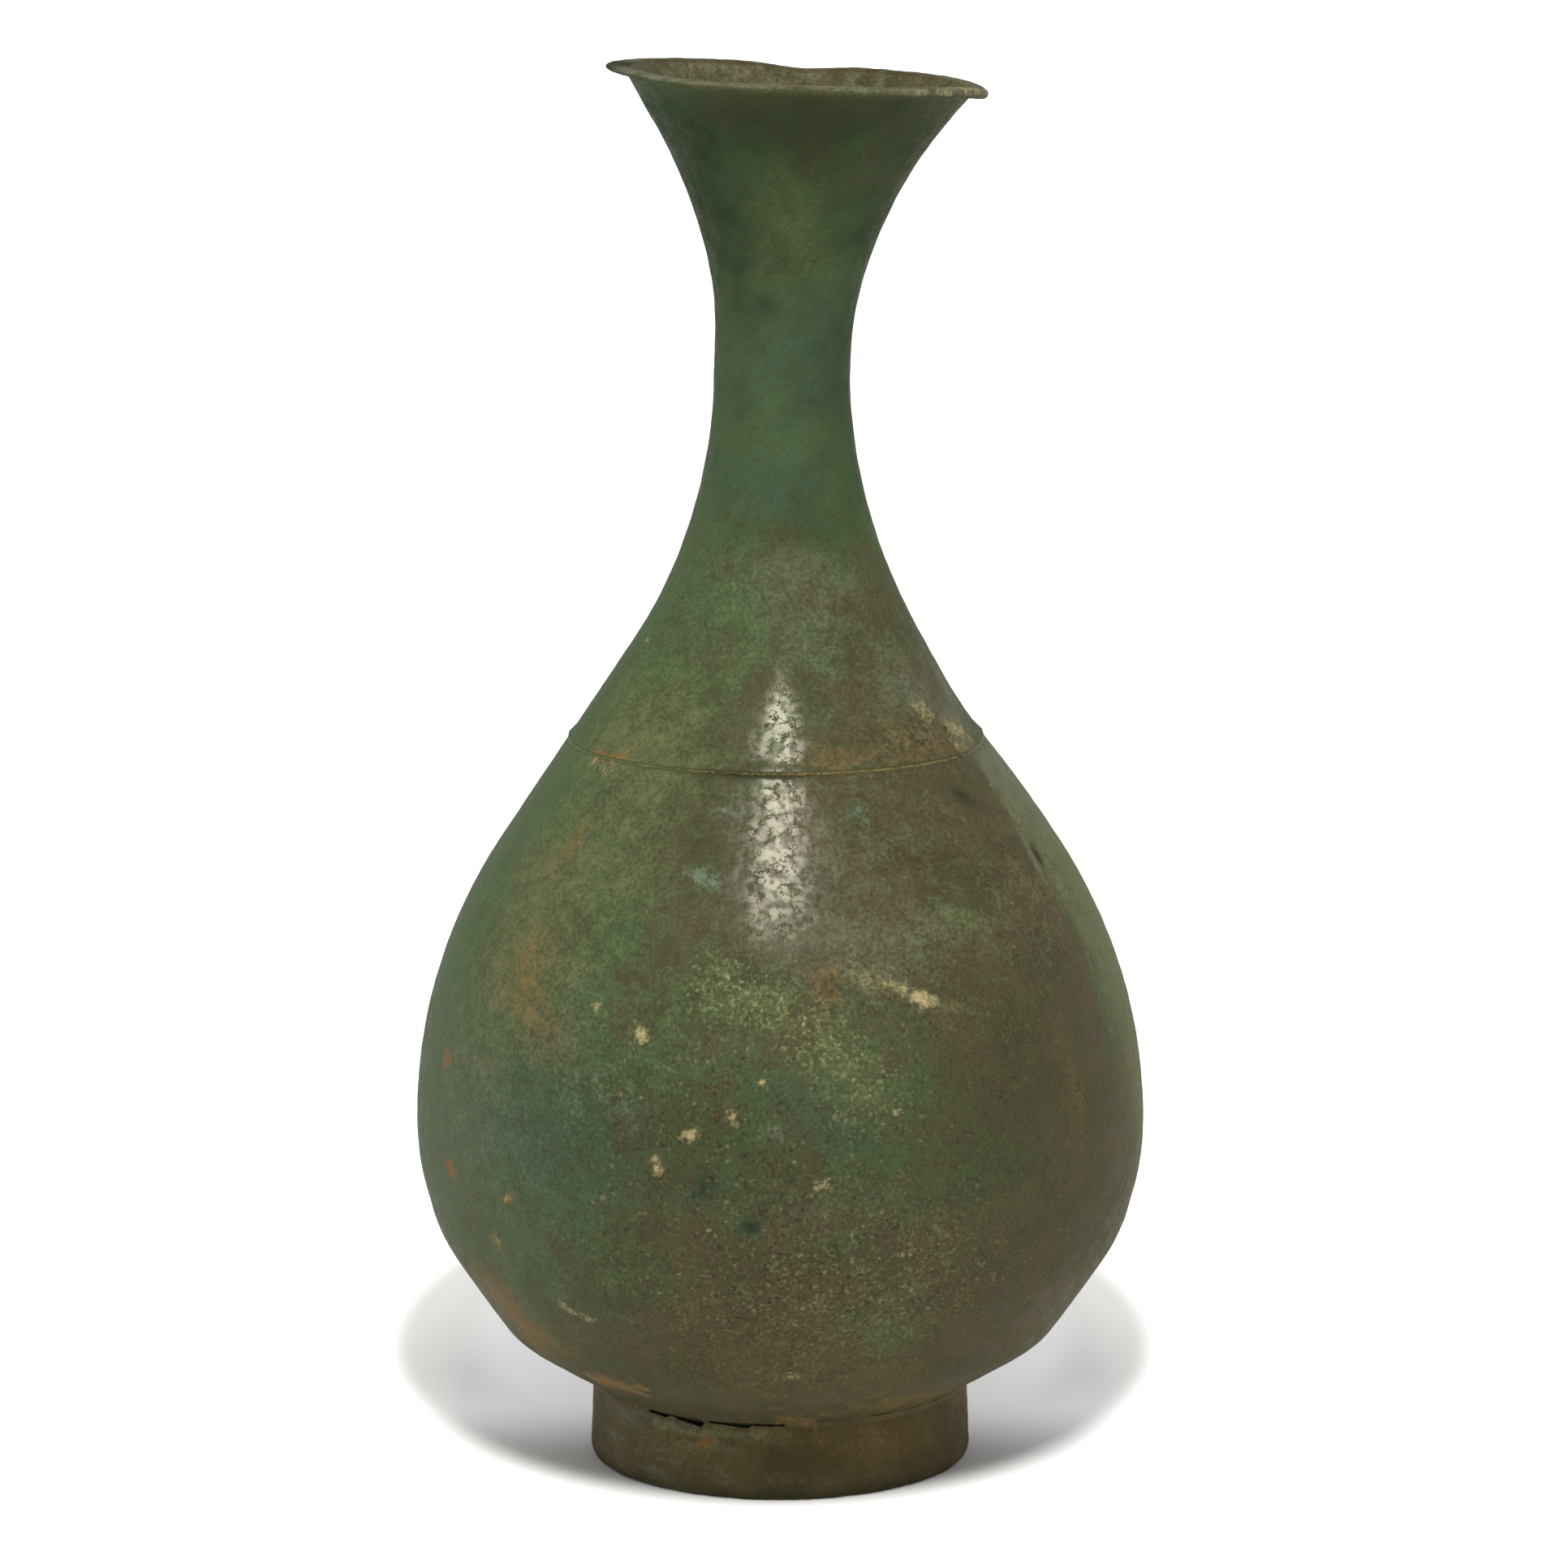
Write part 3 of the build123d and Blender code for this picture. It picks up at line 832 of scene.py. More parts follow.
on_lip = ramp(upright_height, lip_under.z + 0.3 * MM, lip_under.z + 1.2 * MM) * outside
on_edge = on_lip * ramp(radius_of(neck_upright), lip_edge.x - 1.3 * MM, lip_edge.x - 0.5 * MM)
top_line = ramp(upright_height, lip_top.z - 1.2 * MM, lip_top.z - 0.4 * MM)
in_bore = (1 - outside) * ramp(upright_height, bend_height, rim_height)
in_mouth = np.maximum(in_bore, on_lip - on_edge)
at_front = 1 - ramp(np.abs(upright_bearing), *FRONT_ENDS)
at_right = ramp(upright_bearing, *RIGHT_STARTS)
worn_lip = on_lip * (1 - at_front * (1 - at_right) * (1 - top_line))
shaded_lip_tips = bell(apart(upright_bearing, LEFT_TIP) / 23) + 0.9 * bell(apart(upright_bearing, RIGHT_TIP) / 9)

for finish in ("green", "teal", "soot_and_shade", "pale"):
    neck_values[finish] = neck_values[finish] * (1 - worn_lip) * (1 - in_bore)
at_least(neck_values, "ash", on_edge * at_front * worn_lip * (0.66 + 0.20 * small))
at_least(neck_values, "ash", in_mouth * (0.42 + 0.20 * small + 0.10 * big))
at_least(neck_values, "cream", 0.32 * on_lip * bell(apart(upright_bearing, LIP_LIGHT) / 26))
at_least(neck_values, "rust", in_mouth * (0.20 + 0.12 * big))
at_least(neck_values, "rust", 0.35 * on_lip * (1 - at_front))
at_least(neck_values, "soot_and_shade", 0.42 * on_lip * (1 - at_front))
# painted shade at the two tips of the lip, and more of it over the left tip
at_least(neck_values, "soot_and_shade", (0.9 * on_edge + 0.4 * in_mouth) * np.clip(shaded_lip_tips, 0, 1))
at_least(neck_values, "soot_and_shade", 0.85 * on_lip * bell(apart(upright_bearing, LEFT_TIP) / 19))
print("points on the lip", int((on_lip > 0.5).sum()), "and in the bore", int((in_bore > 0.5).sum()))

# %% [markdown]
# ## Relief of the skin
# Corroded bronze is never smooth. Soft lumps and pits a few millimetres across cover the outside, the
# brown crust over the seam stands up in blisters, and the cream scabs are a little proud. Only the
# outer skin is moved, along its own normals.

# %% Lumps, blisters and scabs
LUMP = 0.10 * MM
BLISTER = 0.55 * MM
BLISTER_SIZE = 2.4 * MM
SCAB = 0.22 * MM


def normals_of(shell):
    """Vertex normals of a shell as rows."""
    flat = np.empty(len(shell.data.vertices) * 3, np.float32)
    shell.data.vertex_normals.foreach_get("vector", flat)
    return flat.reshape(-1, 3).astype(float)


def relief(shell, values, big, small):
    """Raise and sink the outer skin."""
    points = points_of(shell)
    blisters = np.abs(clouds(points, BLISTER_SIZE, seed=4))
    height = -LUMP * np.clip(0.5 + 0.5 * small, 0, 1.5)
    height += BLISTER * values["crust"] * blisters + SCAB * values["cream"]
    put_points(shell, points + normals_of(shell) * (height * skin_of(shell))[:, None])


for name in ("body", "neck", "foot"):
    relief(shells[name], *finishes[name])
print("blisters stand up to about", round(2 * BLISTER / MM, 1), "mm")

# %% [markdown]
# ## The torn seam of the foot
# At the front left the solder has let go. The upper edge of the foot is torn into four steps, with
# dark gaps under the body, and below the second step a strip of metal is bent outwards with a crease
# under it. Each tear has a start and an end bearing and a depth, and pulls the edge of the foot down.

# %% Tear the edge of the foot
TEARS = {
    "first": (-43, -36, 0.6),
    "second": (-33, -23.5, 1.25),
    "third": (-21.5, -9, 0.8),
    "fourth": (-8.5, 1, 0.28),
}
TEAR_FADE = 1.2  # degrees
TEAR_START = 0.35  # share of its depth that a tear has where it starts, on its left
TEAR_SIZE = 1.6 * MM
TORN_HEIGHTS = (12.5, 17.0)  # the pull fades out between them
STRIP = (-28, 9, 15.9, 0.9, 0.45)
CREASE = (-28, 9, 14.0, 0.6, 0.45)


def tear_depth(bearing):
    """How far the edge is torn down at each bearing, in millimetres: each tear slopes down to the right."""
    depth = np.zeros(len(bearing))
    for start, end, deep in TEARS.values():
        along = np.clip((bearing - start) / (end - start), 0, 1)
        inside = ramp(bearing, start - TEAR_FADE, start + TEAR_FADE)
        inside *= 1 - ramp(bearing, end - TEAR_FADE, end + TEAR_FADE)
        depth = np.maximum(depth, deep * inside * (TEAR_START + (1 - TEAR_START) * along))
    return depth


points = points_of(foot_shell)
bearing = round_from_front(points)
height = points[:, 2] / MM
torn = tear_depth(bearing) * (1 + 0.22 * clouds(points, TEAR_SIZE, seed=5))
points[:, 2] -= MM * torn * ramp(height, *TORN_HEIGHTS)
outwards = hill(bearing, height, STRIP) - hill(bearing, height, CREASE)
points[:, :2] *= 1 + (outwards / radius_of(points))[:, None]
put_points(foot_shell, points)
print("deepest tear", round(float(torn.max()), 2), "mm")

# %% [markdown]
# ## The tooth and the broken solder
# A small tooth of the body's sheet hangs over the torn edge, and the solder bed is gone along the
# tear. The bed's points there are drawn up into the body, where they can't be seen.

# %% Tooth and solder
TOOTH = (-22.3, 1.5, 1.6)  # bearing, width in degrees and drop
TOOTH_RADIUS = 45.2
TOOTH_REACH = 1.3
GONE_FROM = (-45, -42)
GONE_TO = (0, 3)
HIDDEN = 0.4 * MM  # how far inside the body the missing solder lies

points = points_of(body_shell)
middle, width, drop = TOOTH
hang = bell(apart(round_from_front(points), middle) / width) * skin_of(body_shell)
hang *= bell((radius_of(points) / MM - TOOTH_RADIUS) / TOOTH_REACH)
points[:, 2] -= MM * drop * hang
put_points(body_shell, points)

points = points_of(foot_seam)
bearing = round_from_front(points)
gone = ramp(bearing, *GONE_FROM) * (1 - ramp(bearing, *GONE_TO))
points[:, 2] += gone * np.maximum(base_height(radius_of(points)) + HIDDEN - points[:, 2], 0)
put_points(foot_seam, points)
print("tooth hangs", round(float(hang.max() * drop), 2), "mm")

# %% [markdown]
# ## Storing the finishes
# A named attribute keeps one value for each vertex. The painting is done, so each finish is written
# into the meshes now.

# %% Store the finishes
for name, shell in shells.items():
    for finish, value in finishes[name][0].items():
        attribute = shell.data.attributes.new(finish, "FLOAT", "POINT")
        attribute.data.foreach_set("value", np.clip(value, 0, 1).astype(np.float32))
    print(shell.name, "carries", len(finishes[name][0]), "finishes")

# %% [markdown]
# ## Nodes that read like sums
# Materials are built from nodes, and most of them are noise, sums, products and smooth maps from one
# range to another. Here a value is one output of a node, and arithmetic on it makes math nodes, so
# a formula can be written as a formula. One function makes any node: it sets the modes, then each
# input is linked if it comes from another node and set if it is a number or a colour.

# %% Values and nodes


class Value:
    """One output of a node; arithmetic on it makes nodes in the same tree."""

    def __init__(self, node, output):
        self.socket = node.outputs[output]
        self.tree = node.id_data

    def node(self, kind, inputs, output, **modes):
        """A value from a new node in the same tree."""
        return Value(make(self.tree, kind, inputs, **modes), output)

    def math(self, operation, other=0.0):
        """The result of an operation with a value or a number."""
        return self.node("ShaderNodeMath", {0: self, 1: other}, 0, operation=operation)

    def __add__(self, other):
        return self.math("ADD", other)

    def __sub__(self, other):
        return self.math("SUBTRACT", other)

    def __mul__(self, other):
        return self.math("MULTIPLY", other)

    def __truediv__(self, other):
        return self.math("DIVIDE", other)

    def larger(self, other):
        """The larger of two values."""
        return self.math("MAXIMUM", other)

    def remap(self, low, high, to_low=0.0, to_high=1.0):
        """A smooth map from one range to another."""
        inputs = {"Value": self, "From Min": low, "From Max": high, "To Min": to_low, "To Max": to_high}
        return self.node("ShaderNodeMapRange", inputs, "Result", interpolation_type="SMOOTHSTEP")

    def noise(self, scale, detail, rough):
        """Noise at these coordinates, with features of one over the scale in metres."""
        inputs = {"Vector": self, "Scale": scale, "Detail": detail, "Roughness": rough}
        return self.node("ShaderNodeTexNoise", inputs, "Fac")


def feed(node, inputs):
    """Give a node its inputs: values are linked and anything else is set."""
    for label, value in inputs.items():
        if isinstance(value, Value):
            node.id_data.links.new(value.socket, node.inputs[label])
        else:
            node.inputs[label].default_value = value


def make(tree, kind, inputs, **modes):
    """Make a node with its modes and inputs."""
    node = tree.nodes.new(kind)
    for mode, value in modes.items():
        setattr(node, mode, value)
    feed(node, inputs)
    return node


def coordinates(tree, kind):
    """The coordinates of the point that is shaded."""
    return Value(make(tree, "ShaderNodeTexCoord", {}), kind)


def new_group(name, inputs, outputs):
    """An empty shader group with named sockets, and its two end nodes."""
    group = bpy.data.node_groups.new(name, "ShaderNodeTree")
    for label, kind in inputs:
        group.interface.new_socket(label, in_out="INPUT", socket_type=kind)
    for label, kind in outputs:
        group.interface.new_socket(label, in_out="OUTPUT", socket_type=kind)
    return group, group.nodes.new("NodeGroupInput"), group.nodes.new("NodeGroupOutput")


print("values can be added, multiplied and mapped")

# %% [markdown]
# ## Grain that all the bronze shares
# Fine corrosion is the same on every piece, so it is one node group: a fine grain near a millimetre,
# a mottle of several millimetres, scattered specks and a net of cracks. It reads Object coordinates,
# so nothing stretches, and it puts out plain values that each material uses in its own way.

# %% Node group: bronze grain
SPREAD = (0.30, 0.70)  # the values of noise that become 0 and 1
SPECK_LEAST = 0.15  # size of the smallest speck, in cells
SPECK_EDGE = (0.35, 1.05)
CRUMPLE = 1.3 * MM
CRUMPLE_SCALE = 620
CRUMBS = (0.50, 0.64, 0.0, 0.62)
PEPPER = (0.48, 0.66)
CRACK_WIDTH = 0.03


def dots(place, scale, reach):
    """Specks of many sizes: 1 inside a speck, 0 between the specks."""
    cells = make(place.tree, "ShaderNodeTexVoronoi", {"Vector": place, "Scale": scale})
    chance = place.node("ShaderNodeSeparateColor", {0: Value(cells, "Color")}, 0)
    size = chance * chance * reach + SPECK_LEAST
    return (Value(cells, "Distance") / size).remap(*SPECK_EDGE, 1.0, 0.0)


def crumpled(place):
    """Coordinates pushed about by noise, so that round shapes come out uneven."""
    push = place.node("ShaderNodeTexNoise", {"Vector": place, "Scale": CRUMPLE_SCALE, "Detail": 1.0}, "Color")
    reach = (CRUMPLE, CRUMPLE, CRUMPLE)
    return place.node("ShaderNodeVectorMath", {0: push, 1: reach, 2: place}, 0, operation="MULTIPLY_ADD")


GRAIN = ("Fine", "Mottle", "Drift", "Salt", "Specks", "Pepper", "Flake", "Crack")
grain_group, _, grain_out = new_group("bronze_grain", [], [(label, "NodeSocketFloat") for label in GRAIN])
place = coordinates(grain_group, "Object")
uneven_place = crumpled(place)
crumbs = place.noise(640, 2, 0.55).remap(*CRUMBS)
folds = (place.noise(260, 3, 0.6) - 0.5).math("ABSOLUTE")
feed(grain_out, {
    "Fine": place.noise(1100, 3, 0.65).remap(*SPREAD),
    "Mottle": place.noise(230, 6, 0.70).remap(*SPREAD),
    "Drift": place.noise(75, 4, 0.60).remap(*SPREAD),
    "Salt": dots(uneven_place, 470, 0.32).larger(crumbs),
    "Specks": dots(uneven_place, 640, 0.40).larger(crumbs),
    "Pepper": place.noise(640, 3, 0.6).remap(*PEPPER),
    "Flake": place.noise(480, 2, 0.5),
    "Crack": folds.remap(0.0, CRACK_WIDTH, 1.0, 0.0),
})
print("grain puts out", [item.name for item in grain_group.interface.items_tree])

# %% [markdown]
# ## One layer of patina
# Each finish lies over the one before. The layer group takes the colour under it, its own colour, the
# painted amount and a grain. Where the amount is full the layer covers; towards its edge the grain
# decides, point by point, so edges come out crumbly.

# %% Node group: patina layer
SOFT_EDGE = 0.42
LEAST_PAINT = 0.15  # below this amount a layer fades out whatever the grain says
MIX_UNDER = 6  # the sockets of a Mix node that hold its colours
MIX_OVER = 7
MIX_RESULT = 2

layer_group, layer_in, layer_out = new_group(
    "patina_layer",
    [("Under", "NodeSocketColor"), ("Over", "NodeSocketColor"), ("Amount", "NodeSocketFloat"),
     ("Grain", "NodeSocketFloat"), ("Crumble", "NodeSocketFloat")],
    [("Color", "NodeSocketColor"), ("Mask", "NodeSocketFloat")])
amount = Value(layer_in, "Amount")
worn = (Value(layer_in, "Grain") - 0.5) * Value(layer_in, "Crumble") + amount
mask = worn.remap(0.5 - SOFT_EDGE, 0.5 + SOFT_EDGE) * amount.remap(0.0, LEAST_PAINT)
colours = {"Factor": mask, MIX_UNDER: Value(layer_in, "Under"), MIX_OVER: Value(layer_in, "Over")}
feed(layer_out, {"Color": mask.node("ShaderNodeMix", colours, MIX_RESULT, data_type="RGBA"), "Mask": mask})
print("layer takes", [item.name for item in layer_group.interface.items_tree])

# %% [markdown]
# ## The colours of old bronze
# The palette is written as display colours, red, green and blue from 0 to 255. A shader works with
# linear colours, so each is converted first.

# %% Palette


def tint(red, green, blue):
    """A display colour from 0 to 255 as the linear colour that shaders use."""
    shares = [value / 255 for value in (red, green, blue)]
    linear = [v / 12.92 if v <= 0.04045 else ((v + 0.055) / 1.055) ** 2.4 for v in shares]
    return (*linear, 1.0)


PALETTE = {
    "bark": tint(90, 84, 62),
    "umber": tint(80, 74, 54),
    "moss": tint(84, 103, 69),
    "teal": tint(73, 95, 73),
    "pale": tint(110, 113, 77),
    "ash": tint(112, 115, 95),
    "verdigris": tint(112, 129, 107),
    "rust": tint(129, 106, 67),
    "crust": tint(110, 101, 74),
    # the next colour is a dark sooty patina, and also the colour of painted shade
    "soot_and_shade": tint(34, 40, 24),
    "salt": tint(148, 138, 105),
    "lime": tint(144, 155, 107),
    "cream": tint(184, 173, 128),
}
BROWN = (PALETTE["bark"], PALETTE["umber"])
DARK_BROWN = (tint(96, 85, 56), tint(80, 70, 44))
print(len(PALETTE), "colours")

# %% [markdown]
# ## Laying the patina
# The ground is brown where the metal shows through and mossy where it has greened. Over it lie teal,
# pale olive, grey, verdigris, rust and crust, then specks of salt and lime, soot and painted shade,
# and cream scabs on top. At last fine grain makes the colour lighter and darker, with dark pits in grit
# and crust.

# %% Patina colour
CRUMBLE = {"teal": 0.7, "pale": 0.5, "ash": 0.4, "verdigris": 0.9, "rust": 0.4, "crust": 0.9}
UNEVEN_MOSS = (0.0, 0.6, 0.07, 0.20)  # from thin to full moss, and how uneven it is there
SALT_FULL = 0.58
LIME_GROUND = 0.42
CRUST_PITS = 1.2
PITS = (0.0, 1.6, 0.04, 0.66)  # from clean to pitted, and how dark the pits are there
FINE_DUST = (0.88, 1.15)
MOTTLED_DUST = (0.90, 1.10)


def painted(tree, finish):
    """The painted value of a finish at each point of the surface."""
    return Value(make(tree, "ShaderNodeAttribute", {}, attribute_name=finish), "Fac")


def layer(under, over, amount, grain, crumble):
    """Lay one finish over the colour so far; returns the colour and where the finish covers."""
    inputs = {"Under": under, "Over": over, "Amount": amount, "Grain": grain, "Crumble": crumble}
    node = make(amount.tree, "ShaderNodeGroup", inputs, node_tree=layer_group)
    return Value(node, "Color"), Value(node, "Mask")


def patina(tree, grain, crumb, ground, bare):
    """The layered colour, and where crust and scabs lie."""
    colour, _ = layer(*bare, grain["Drift"], crumb, 0.8)
    green = painted(tree, "green")
    uneven = grain["Drift"].remap(0.0, 1.0, -1.0, 1.0) * green.remap(*UNEVEN_MOSS)
    colour, _ = layer(colour, PALETTE["moss"], green * (1 - ground) + ground + uneven, crumb, 0.45)
    for finish, crumble in CRUMBLE.items():
        colour, covered = layer(colour, PALETTE[finish], painted(tree, finish), crumb, crumble)
    crust = covered  # crust is the last of them
    salted = grain["Salt"] * painted(tree, "grit").remap(0.0, 1.0, 0.0, SALT_FULL)
    colour, _ = layer(colour, PALETTE["salt"], salted, grain["Fine"], 0.4)
    limed = painted(tree, "lime")
    colour, _ = layer(colour, PALETTE["pale"], limed * LIME_GROUND, crumb, 0.7)
    colour, _ = layer(colour, PALETTE["lime"], limed * grain["Specks"], grain["Fine"], 0.5)
    # soot, and painted shade where the soot marks stand for it
    colour, _ = layer(colour, PALETTE["soot_and_shade"], painted(tree, "soot_and_shade"), crumb, 0.15)
    colour, scabs = layer(colour, PALETTE["cream"], painted(tree, "cream"), crumb, 0.7)
    return colour, crust, scabs


def dusted(colour, grain, crust):
    """The colour made lighter and darker by fine grain and pits."""
    pitted = painted(colour.tree, "grit").larger(crust * CRUST_PITS)
    dust = grain["Fine"].remap(0.0, 1.0, *FINE_DUST) * grain["Mottle"].remap(0.0, 1.0, *MOTTLED_DUST)
    dust = dust - grain["Pepper"] * pitted.remap(*PITS)
    grey = dust.node("ShaderNodeCombineColor", {"Red": dust, "Green": dust, "Blue": dust}, 0)
    colours = {"Factor": 1.0, MIX_UNDER: colour, MIX_OVER: grey}
    return dust.node("ShaderNodeMix", colours, MIX_RESULT, data_type="RGBA", blend_type="MULTIPLY")


print("patina lays", list(CRUMBLE))

# %% [markdown]
# ## The bronze
# The polish value makes the worn brown skin smoother and glazes it with a flaky coat, so the lamp
# leaves a bright broken gleam there and a dull one elsewhere. Fine bumps, cracks and blisters give the
# skin its tooth. Body, neck and foot differ in how green their ground is and in their bare browns.

# %% Bronze material
ROUGH = (0.62, 0.24)  # of dull and of polished skin
ROUGH_GRAIN = (0.25, 0.75, -0.06, 0.16)
ROUGH_SCABS = 0.2
GLAZE = (0.36, 0.62, 0.22, 1.0)  # from bare to flaked, and the glaze there
GLAZE_FROM = 0.1  # polish where the glaze begins
COAT_ROUGHNESS = 0.24
COAT_IOR = 1.58
FINE_BUMPS = (0.22, 0.06)  # on dull and on polished skin
CRACK_BUMPS = 0.20
FLAKE_BUMPS = 0.35
BUMP_HEIGHT = 0.3 * MM


def new_material(name, gloss):
    """A material with its shader and the values of the grain."""
    material = bpy.data.materials.new(name)
    material.use_nodes = True
    shader = material.node_tree.nodes["Principled BSDF"]
    feed(shader, {"Specular IOR Level": gloss})
    node = make(material.node_tree, "ShaderNodeGroup", {}, node_tree=grain_group)
    return material, shader, {label: Value(node, label) for label in GRAIN}


def bumps(grain, crust, polish):
    """The normal of the skin, with fine grain, cracks in the polish, flakes and blisters."""
    height = grain["Fine"] * polish.remap(0.0, 1.0, *FINE_BUMPS) - grain["Crack"] * polish * CRACK_BUMPS
    height = height + grain["Flake"] * FLAKE_BUMPS + crust * grain["Mottle"]
    return height.node("ShaderNodeBump", {"Strength": 1.0, "Distance": BUMP_HEIGHT, "Height": height}, 0)


def bronze(name, ground, bare, gloss):
    """Patinated bronze; ground is the green where no stain is painted, bare the two browns below it."""
    material, shader, grain = new_material(name, gloss)
    tree = material.node_tree
    crumb = grain["Fine"] * 0.5 + grain["Mottle"] * 0.5
    polish = painted(tree, "polish")
    colour, crust, scabs = patina(tree, grain, crumb, ground, bare)
    flaked = grain["Flake"].remap(*GLAZE) - grain["Crack"]
    feed(shader, {
        "Base Color": dusted(colour, grain, crust),
        "Roughness": polish.remap(0.0, 1.0, *ROUGH) + crumb.remap(*ROUGH_GRAIN) + scabs * ROUGH_SCABS,
        "Coat Weight": flaked.larger(0.0) * polish.remap(GLAZE_FROM, 1.0),
        "Coat Roughness": COAT_ROUGHNESS,
        "Coat IOR": COAT_IOR,
        "Normal": bumps(grain, crust, polish),
    })
    print(name, "has", len(tree.nodes), "nodes")
    return material


body_shell.data.materials.append(bronze("body_patina", ground=0.22, bare=BROWN, gloss=0.08))
neck_shell.data.materials.append(bronze("neck_patina", ground=0.30, bare=BROWN, gloss=0.05))
foot_shell.data.materials.append(bronze("foot_patina", ground=0.0, bare=DARK_BROWN, gloss=0.10))

# %% [markdown]
# ## The solder
# Old soft solder is a pale tan metal gone dull, with rust where water has stood, and green and soot
# where the bronze beside it has them. It gets the same grain and layers over a lighter ground.

# %% Solder material
SOLDER_GLOSS = 0.2
SOLDER_ROUGH = (0.5, 0.75)
SOLDER_LAYERS = {"rust": ("rust", 0.6), "green": ("moss", 0.5), "soot_and_shade": ("soot_and_shade", 0.3)}  # colour, crumble


def solder_metal(name, bright, dull):
    """Old solder: two dull tans under what has run over them."""
    material, shader, grain = new_material(name, SOLDER_GLOSS)
    fine = grain["Fine"]
    colour, _ = layer(bright, dull, grain["Mottle"], fine, 0.9)
    for finish, (shown, crumble) in SOLDER_LAYERS.items():
        colour, _ = layer(colour, PALETTE[shown], painted(material.node_tree, finish), fine, crumble)
    feed(shader, {"Base Color": colour, "Roughness": fine.remap(0.0, 1.0, *SOLDER_ROUGH)})
    return material


shoulder_seam.data.materials.append(solder_metal("shoulder_solder", tint(130, 116, 76), tint(98, 94, 60)))
foot_seam.data.materials.append(solder_metal("foot_solder", tint(92, 80, 50), tint(74, 66, 40)))
print("solder on", shoulder_seam.name, "and", foot_seam.name)

# %% [markdown]
# ## The white sweep
# The bottle stands on a white sweep that fills the picture. It glows a little, to the camera and to
# reflections only: fully outside an oval round the shadow, so the background is white, and less
# inside it, so the shadow stays. The glow also paints the shadow: it cuts it off at the oval, and
# makes it paler towards the back and darker at its two ends.

# %% Floor
SWEEP = 16.0
SHADE_LEFT = 0.002  # the middle of the shadow lies this far left of the bottle
SHADE_BACK = 0.100  # and this far behind it
SHADE_DEPTH = 1.49  # and the shadow is this many times as deep as wide
CLEAR = (0.0895, 0.103, 0.0, 0.85)  # radii between which the oval ends, and the glow there
# painted shadow: the glow paints the shadow paler towards the back and darker at its ends
PALE_BACK = (-0.012, 0.038, 0.0, 0.295)  # distances back between which the shadow gets paler
DARK_ENDS = (0.067, 0.081, 0.0, -0.12)  # radii where the ends of the shadow turn darker
ENDS_BACK = (0.02, 0.07)
PAPER = (0.8, 0.8, 0.8, 1)
WHITE = (1, 1, 1, 1)

bm = bmesh.new()
bmesh.ops.create_grid(bm, x_segments=1, y_segments=1, size=SWEEP)
sweep_mesh = bpy.data.meshes.new("white_sweep")
bm.to_mesh(sweep_mesh)
bm.free()
sweep = bpy.data.objects.new("white_sweep", sweep_mesh)
bpy.context.scene.collection.objects.link(sweep)

paper = bpy.data.materials.new("white_paper")
paper.use_nodes = True
tree = paper.node_tree
tree.nodes.clear()
place = coordinates(tree, "Object")
middle = (SHADE_LEFT, -SHADE_BACK / SHADE_DEPTH, 0)
squeeze = (1, 1 / SHADE_DEPTH, 1)
oval = place.node("ShaderNodeMapping", {"Vector": place, "Location": middle, "Scale": squeeze}, 0)
out_from_shade = oval.node("ShaderNodeVectorMath", {0: oval}, "Value", operation="LENGTH")
back = place.node("ShaderNodeSeparateXYZ", {0: place}, "Y")
# the glow that paints the shadow's outline and shading
lift = back.remap(*PALE_BACK) + out_from_shade.remap(*CLEAR)
lift = lift + out_from_shade.remap(*DARK_ENDS) * back.remap(*ENDS_BACK)
rays = make(tree, "ShaderNodeLightPath", {})
shown = Value(rays, "Is Camera Ray").larger(Value(rays, "Is Glossy Ray"))
shown = shown.larger(Value(rays, "Is Transmission Ray"))
matt = place.node("ShaderNodeBsdfDiffuse", {"Color": PAPER}, 0)
glow = place.node("ShaderNodeEmission", {"Color": WHITE, "Strength": lift * shown}, 0)
both = place.node("ShaderNodeAddShader", {0: matt, 1: glow}, 0)
make(tree, "ShaderNodeOutputMaterial", {"Surface": both})
sweep_mesh.materials.append(paper)
print("sweep is", 2 * SWEEP, "m wide")

# %% [markdown]
# ## The room
# The world gives even light, brighter from behind than from the front, as a white wall behind the
# bottle would.

# %% World
ROOM = 0.55
WHITE_WALL = 0.85
WALL_EDGE = (0.50, 0.72)

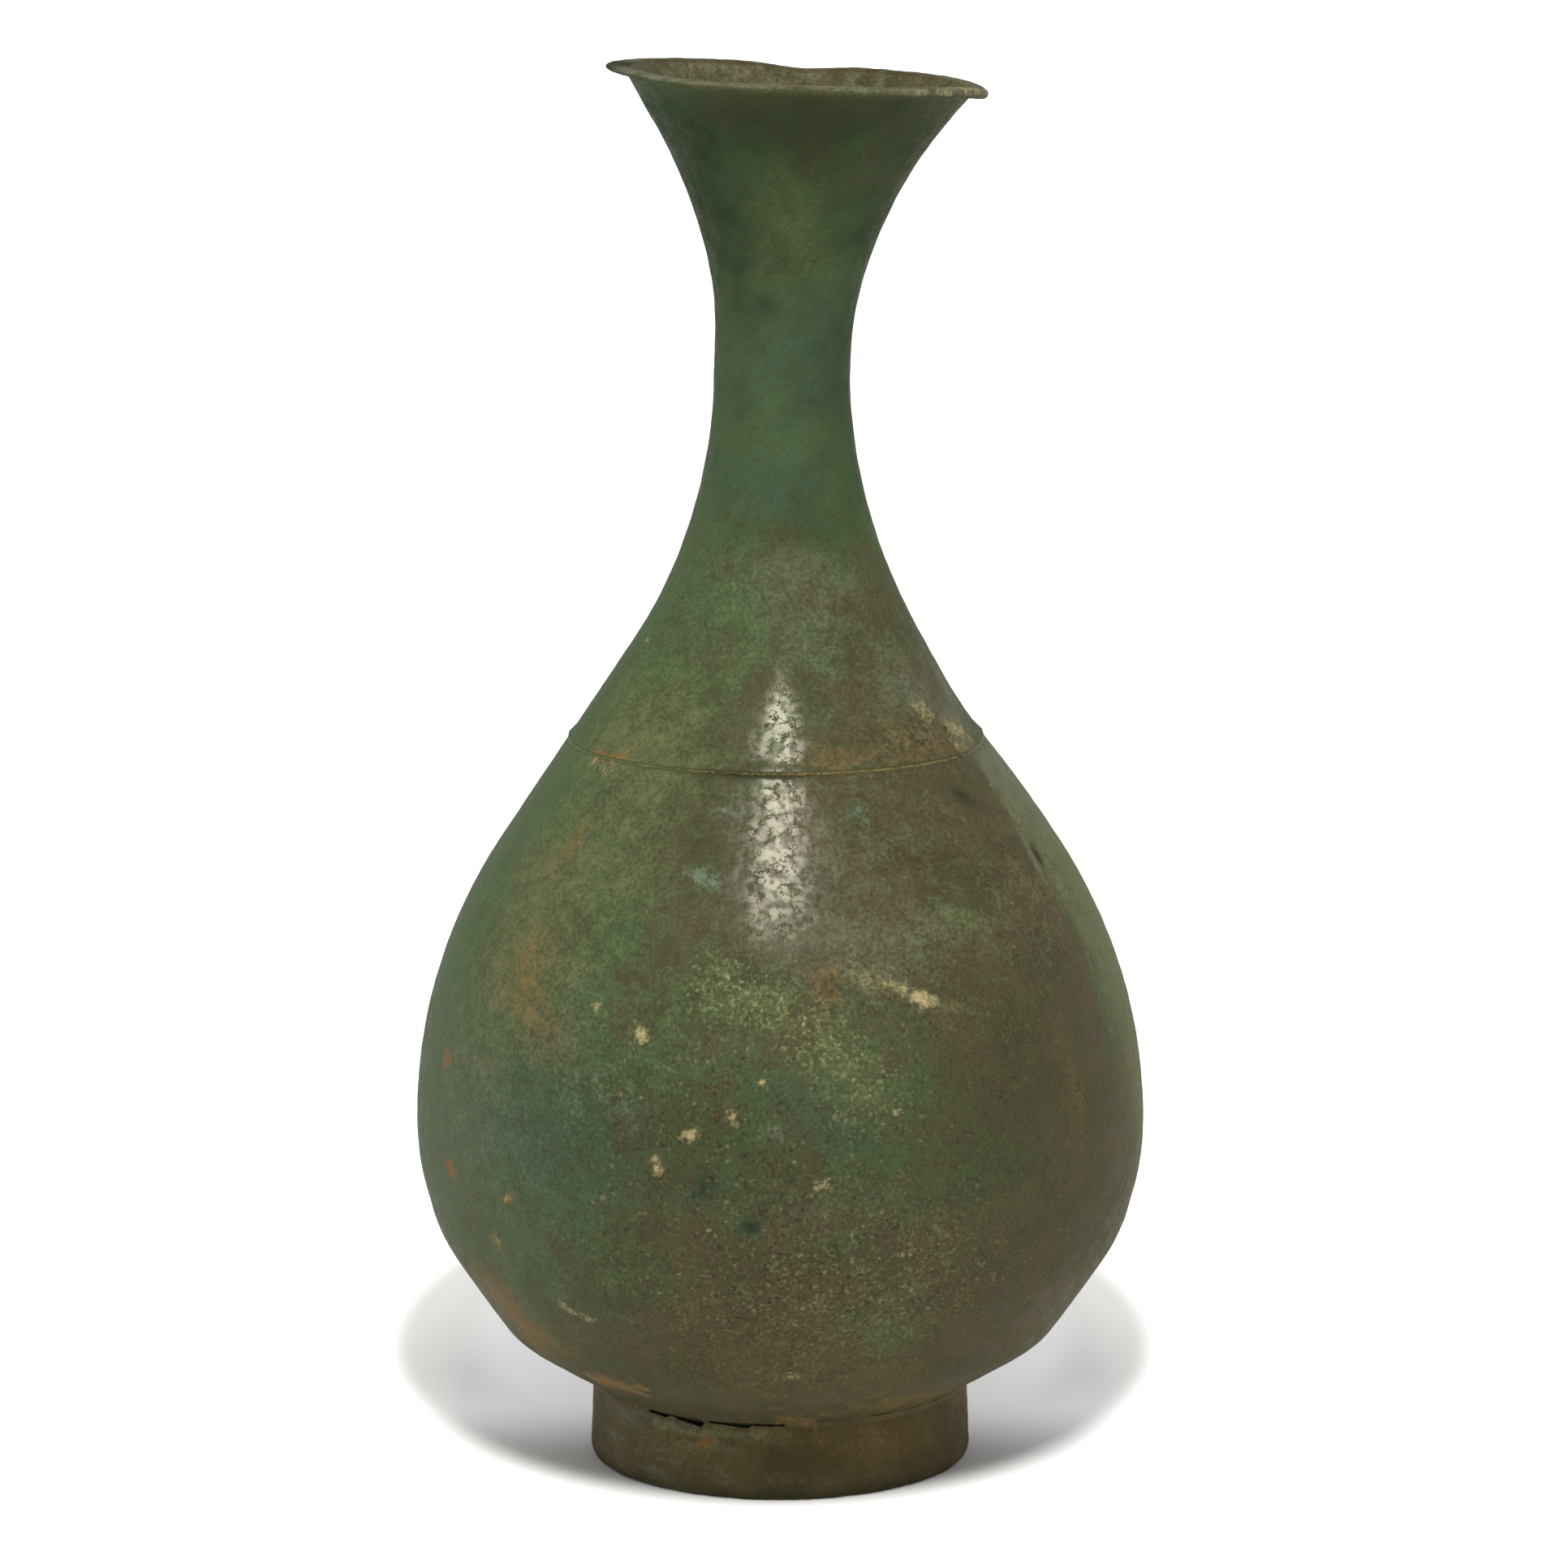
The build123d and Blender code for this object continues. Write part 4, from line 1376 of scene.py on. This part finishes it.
world = bpy.data.worlds.new("studio")
bpy.context.scene.world = world
world.use_nodes = True
tree = world.node_tree
heading = coordinates(tree, "Generated")
back = heading.node("ShaderNodeSeparateXYZ", {0: heading}, "Y")
feed(tree.nodes["Background"], {"Color": WHITE, "Strength": back.remap(*WALL_EDGE, ROOM, WHITE_WALL)})
print("room light", ROOM, "and", WHITE_WALL, "from behind")

# %% [markdown]
# ## The lamp
# One soft lamp hangs in front and above, so the shadow lies behind the bottle on both sides and a
# narrow gleam runs down the front.

# %% Lamp
LAMP_PLACE = Vector((0.0, -0.86, 1.30))
LAMP_AIM = Vector((0.0, 0.0, 0.14))
LAMP_WATTS = 10.0
LAMP_SIZE = (0.40, 0.50)
LAMP_COLOUR = (1.0, 0.925, 0.76)

lamp_data = bpy.data.lights.new("soft_box", "AREA")
lamp_data.shape = "RECTANGLE"
lamp_data.size, lamp_data.size_y = LAMP_SIZE
lamp_data.energy = LAMP_WATTS
lamp_data.color = LAMP_COLOUR
lamp = bpy.data.objects.new("soft_box", lamp_data)
lamp.location = LAMP_PLACE
lamp.rotation_euler = (LAMP_AIM - LAMP_PLACE).to_track_quat("-Z", "Y").to_euler()
bpy.context.scene.collection.objects.link(lamp)
print("lamp of", LAMP_WATTS, "W,", round(LAMP_PLACE.z, 2), "m over the table")

# %% [markdown]
# ## Camera
# The photograph was taken from the front, a little above the mouth and looking slightly down, with
# a long lens. The camera stands 1.4 m away at 42 cm over the table.

# %% Camera
CAMERA_PLACE = (0.0009, -1.4, 0.42)
CAMERA_TILT = radians(79.408)
LENS = 141.93
SENSOR = 36.0
SHIFT_UP = 0.0006

camera_data = bpy.data.cameras.new("camera")
camera_data.lens = LENS
camera_data.shift_y = SHIFT_UP
camera_data.sensor_width = SENSOR
camera = bpy.data.objects.new("camera", camera_data)
camera.location = CAMERA_PLACE
camera.rotation_euler = (CAMERA_TILT, 0, 0)
bpy.context.scene.collection.objects.link(camera)
bpy.context.scene.camera = camera
bpy.context.scene.view_settings.view_transform = "Standard"
print("camera with a lens of", LENS, "mm")
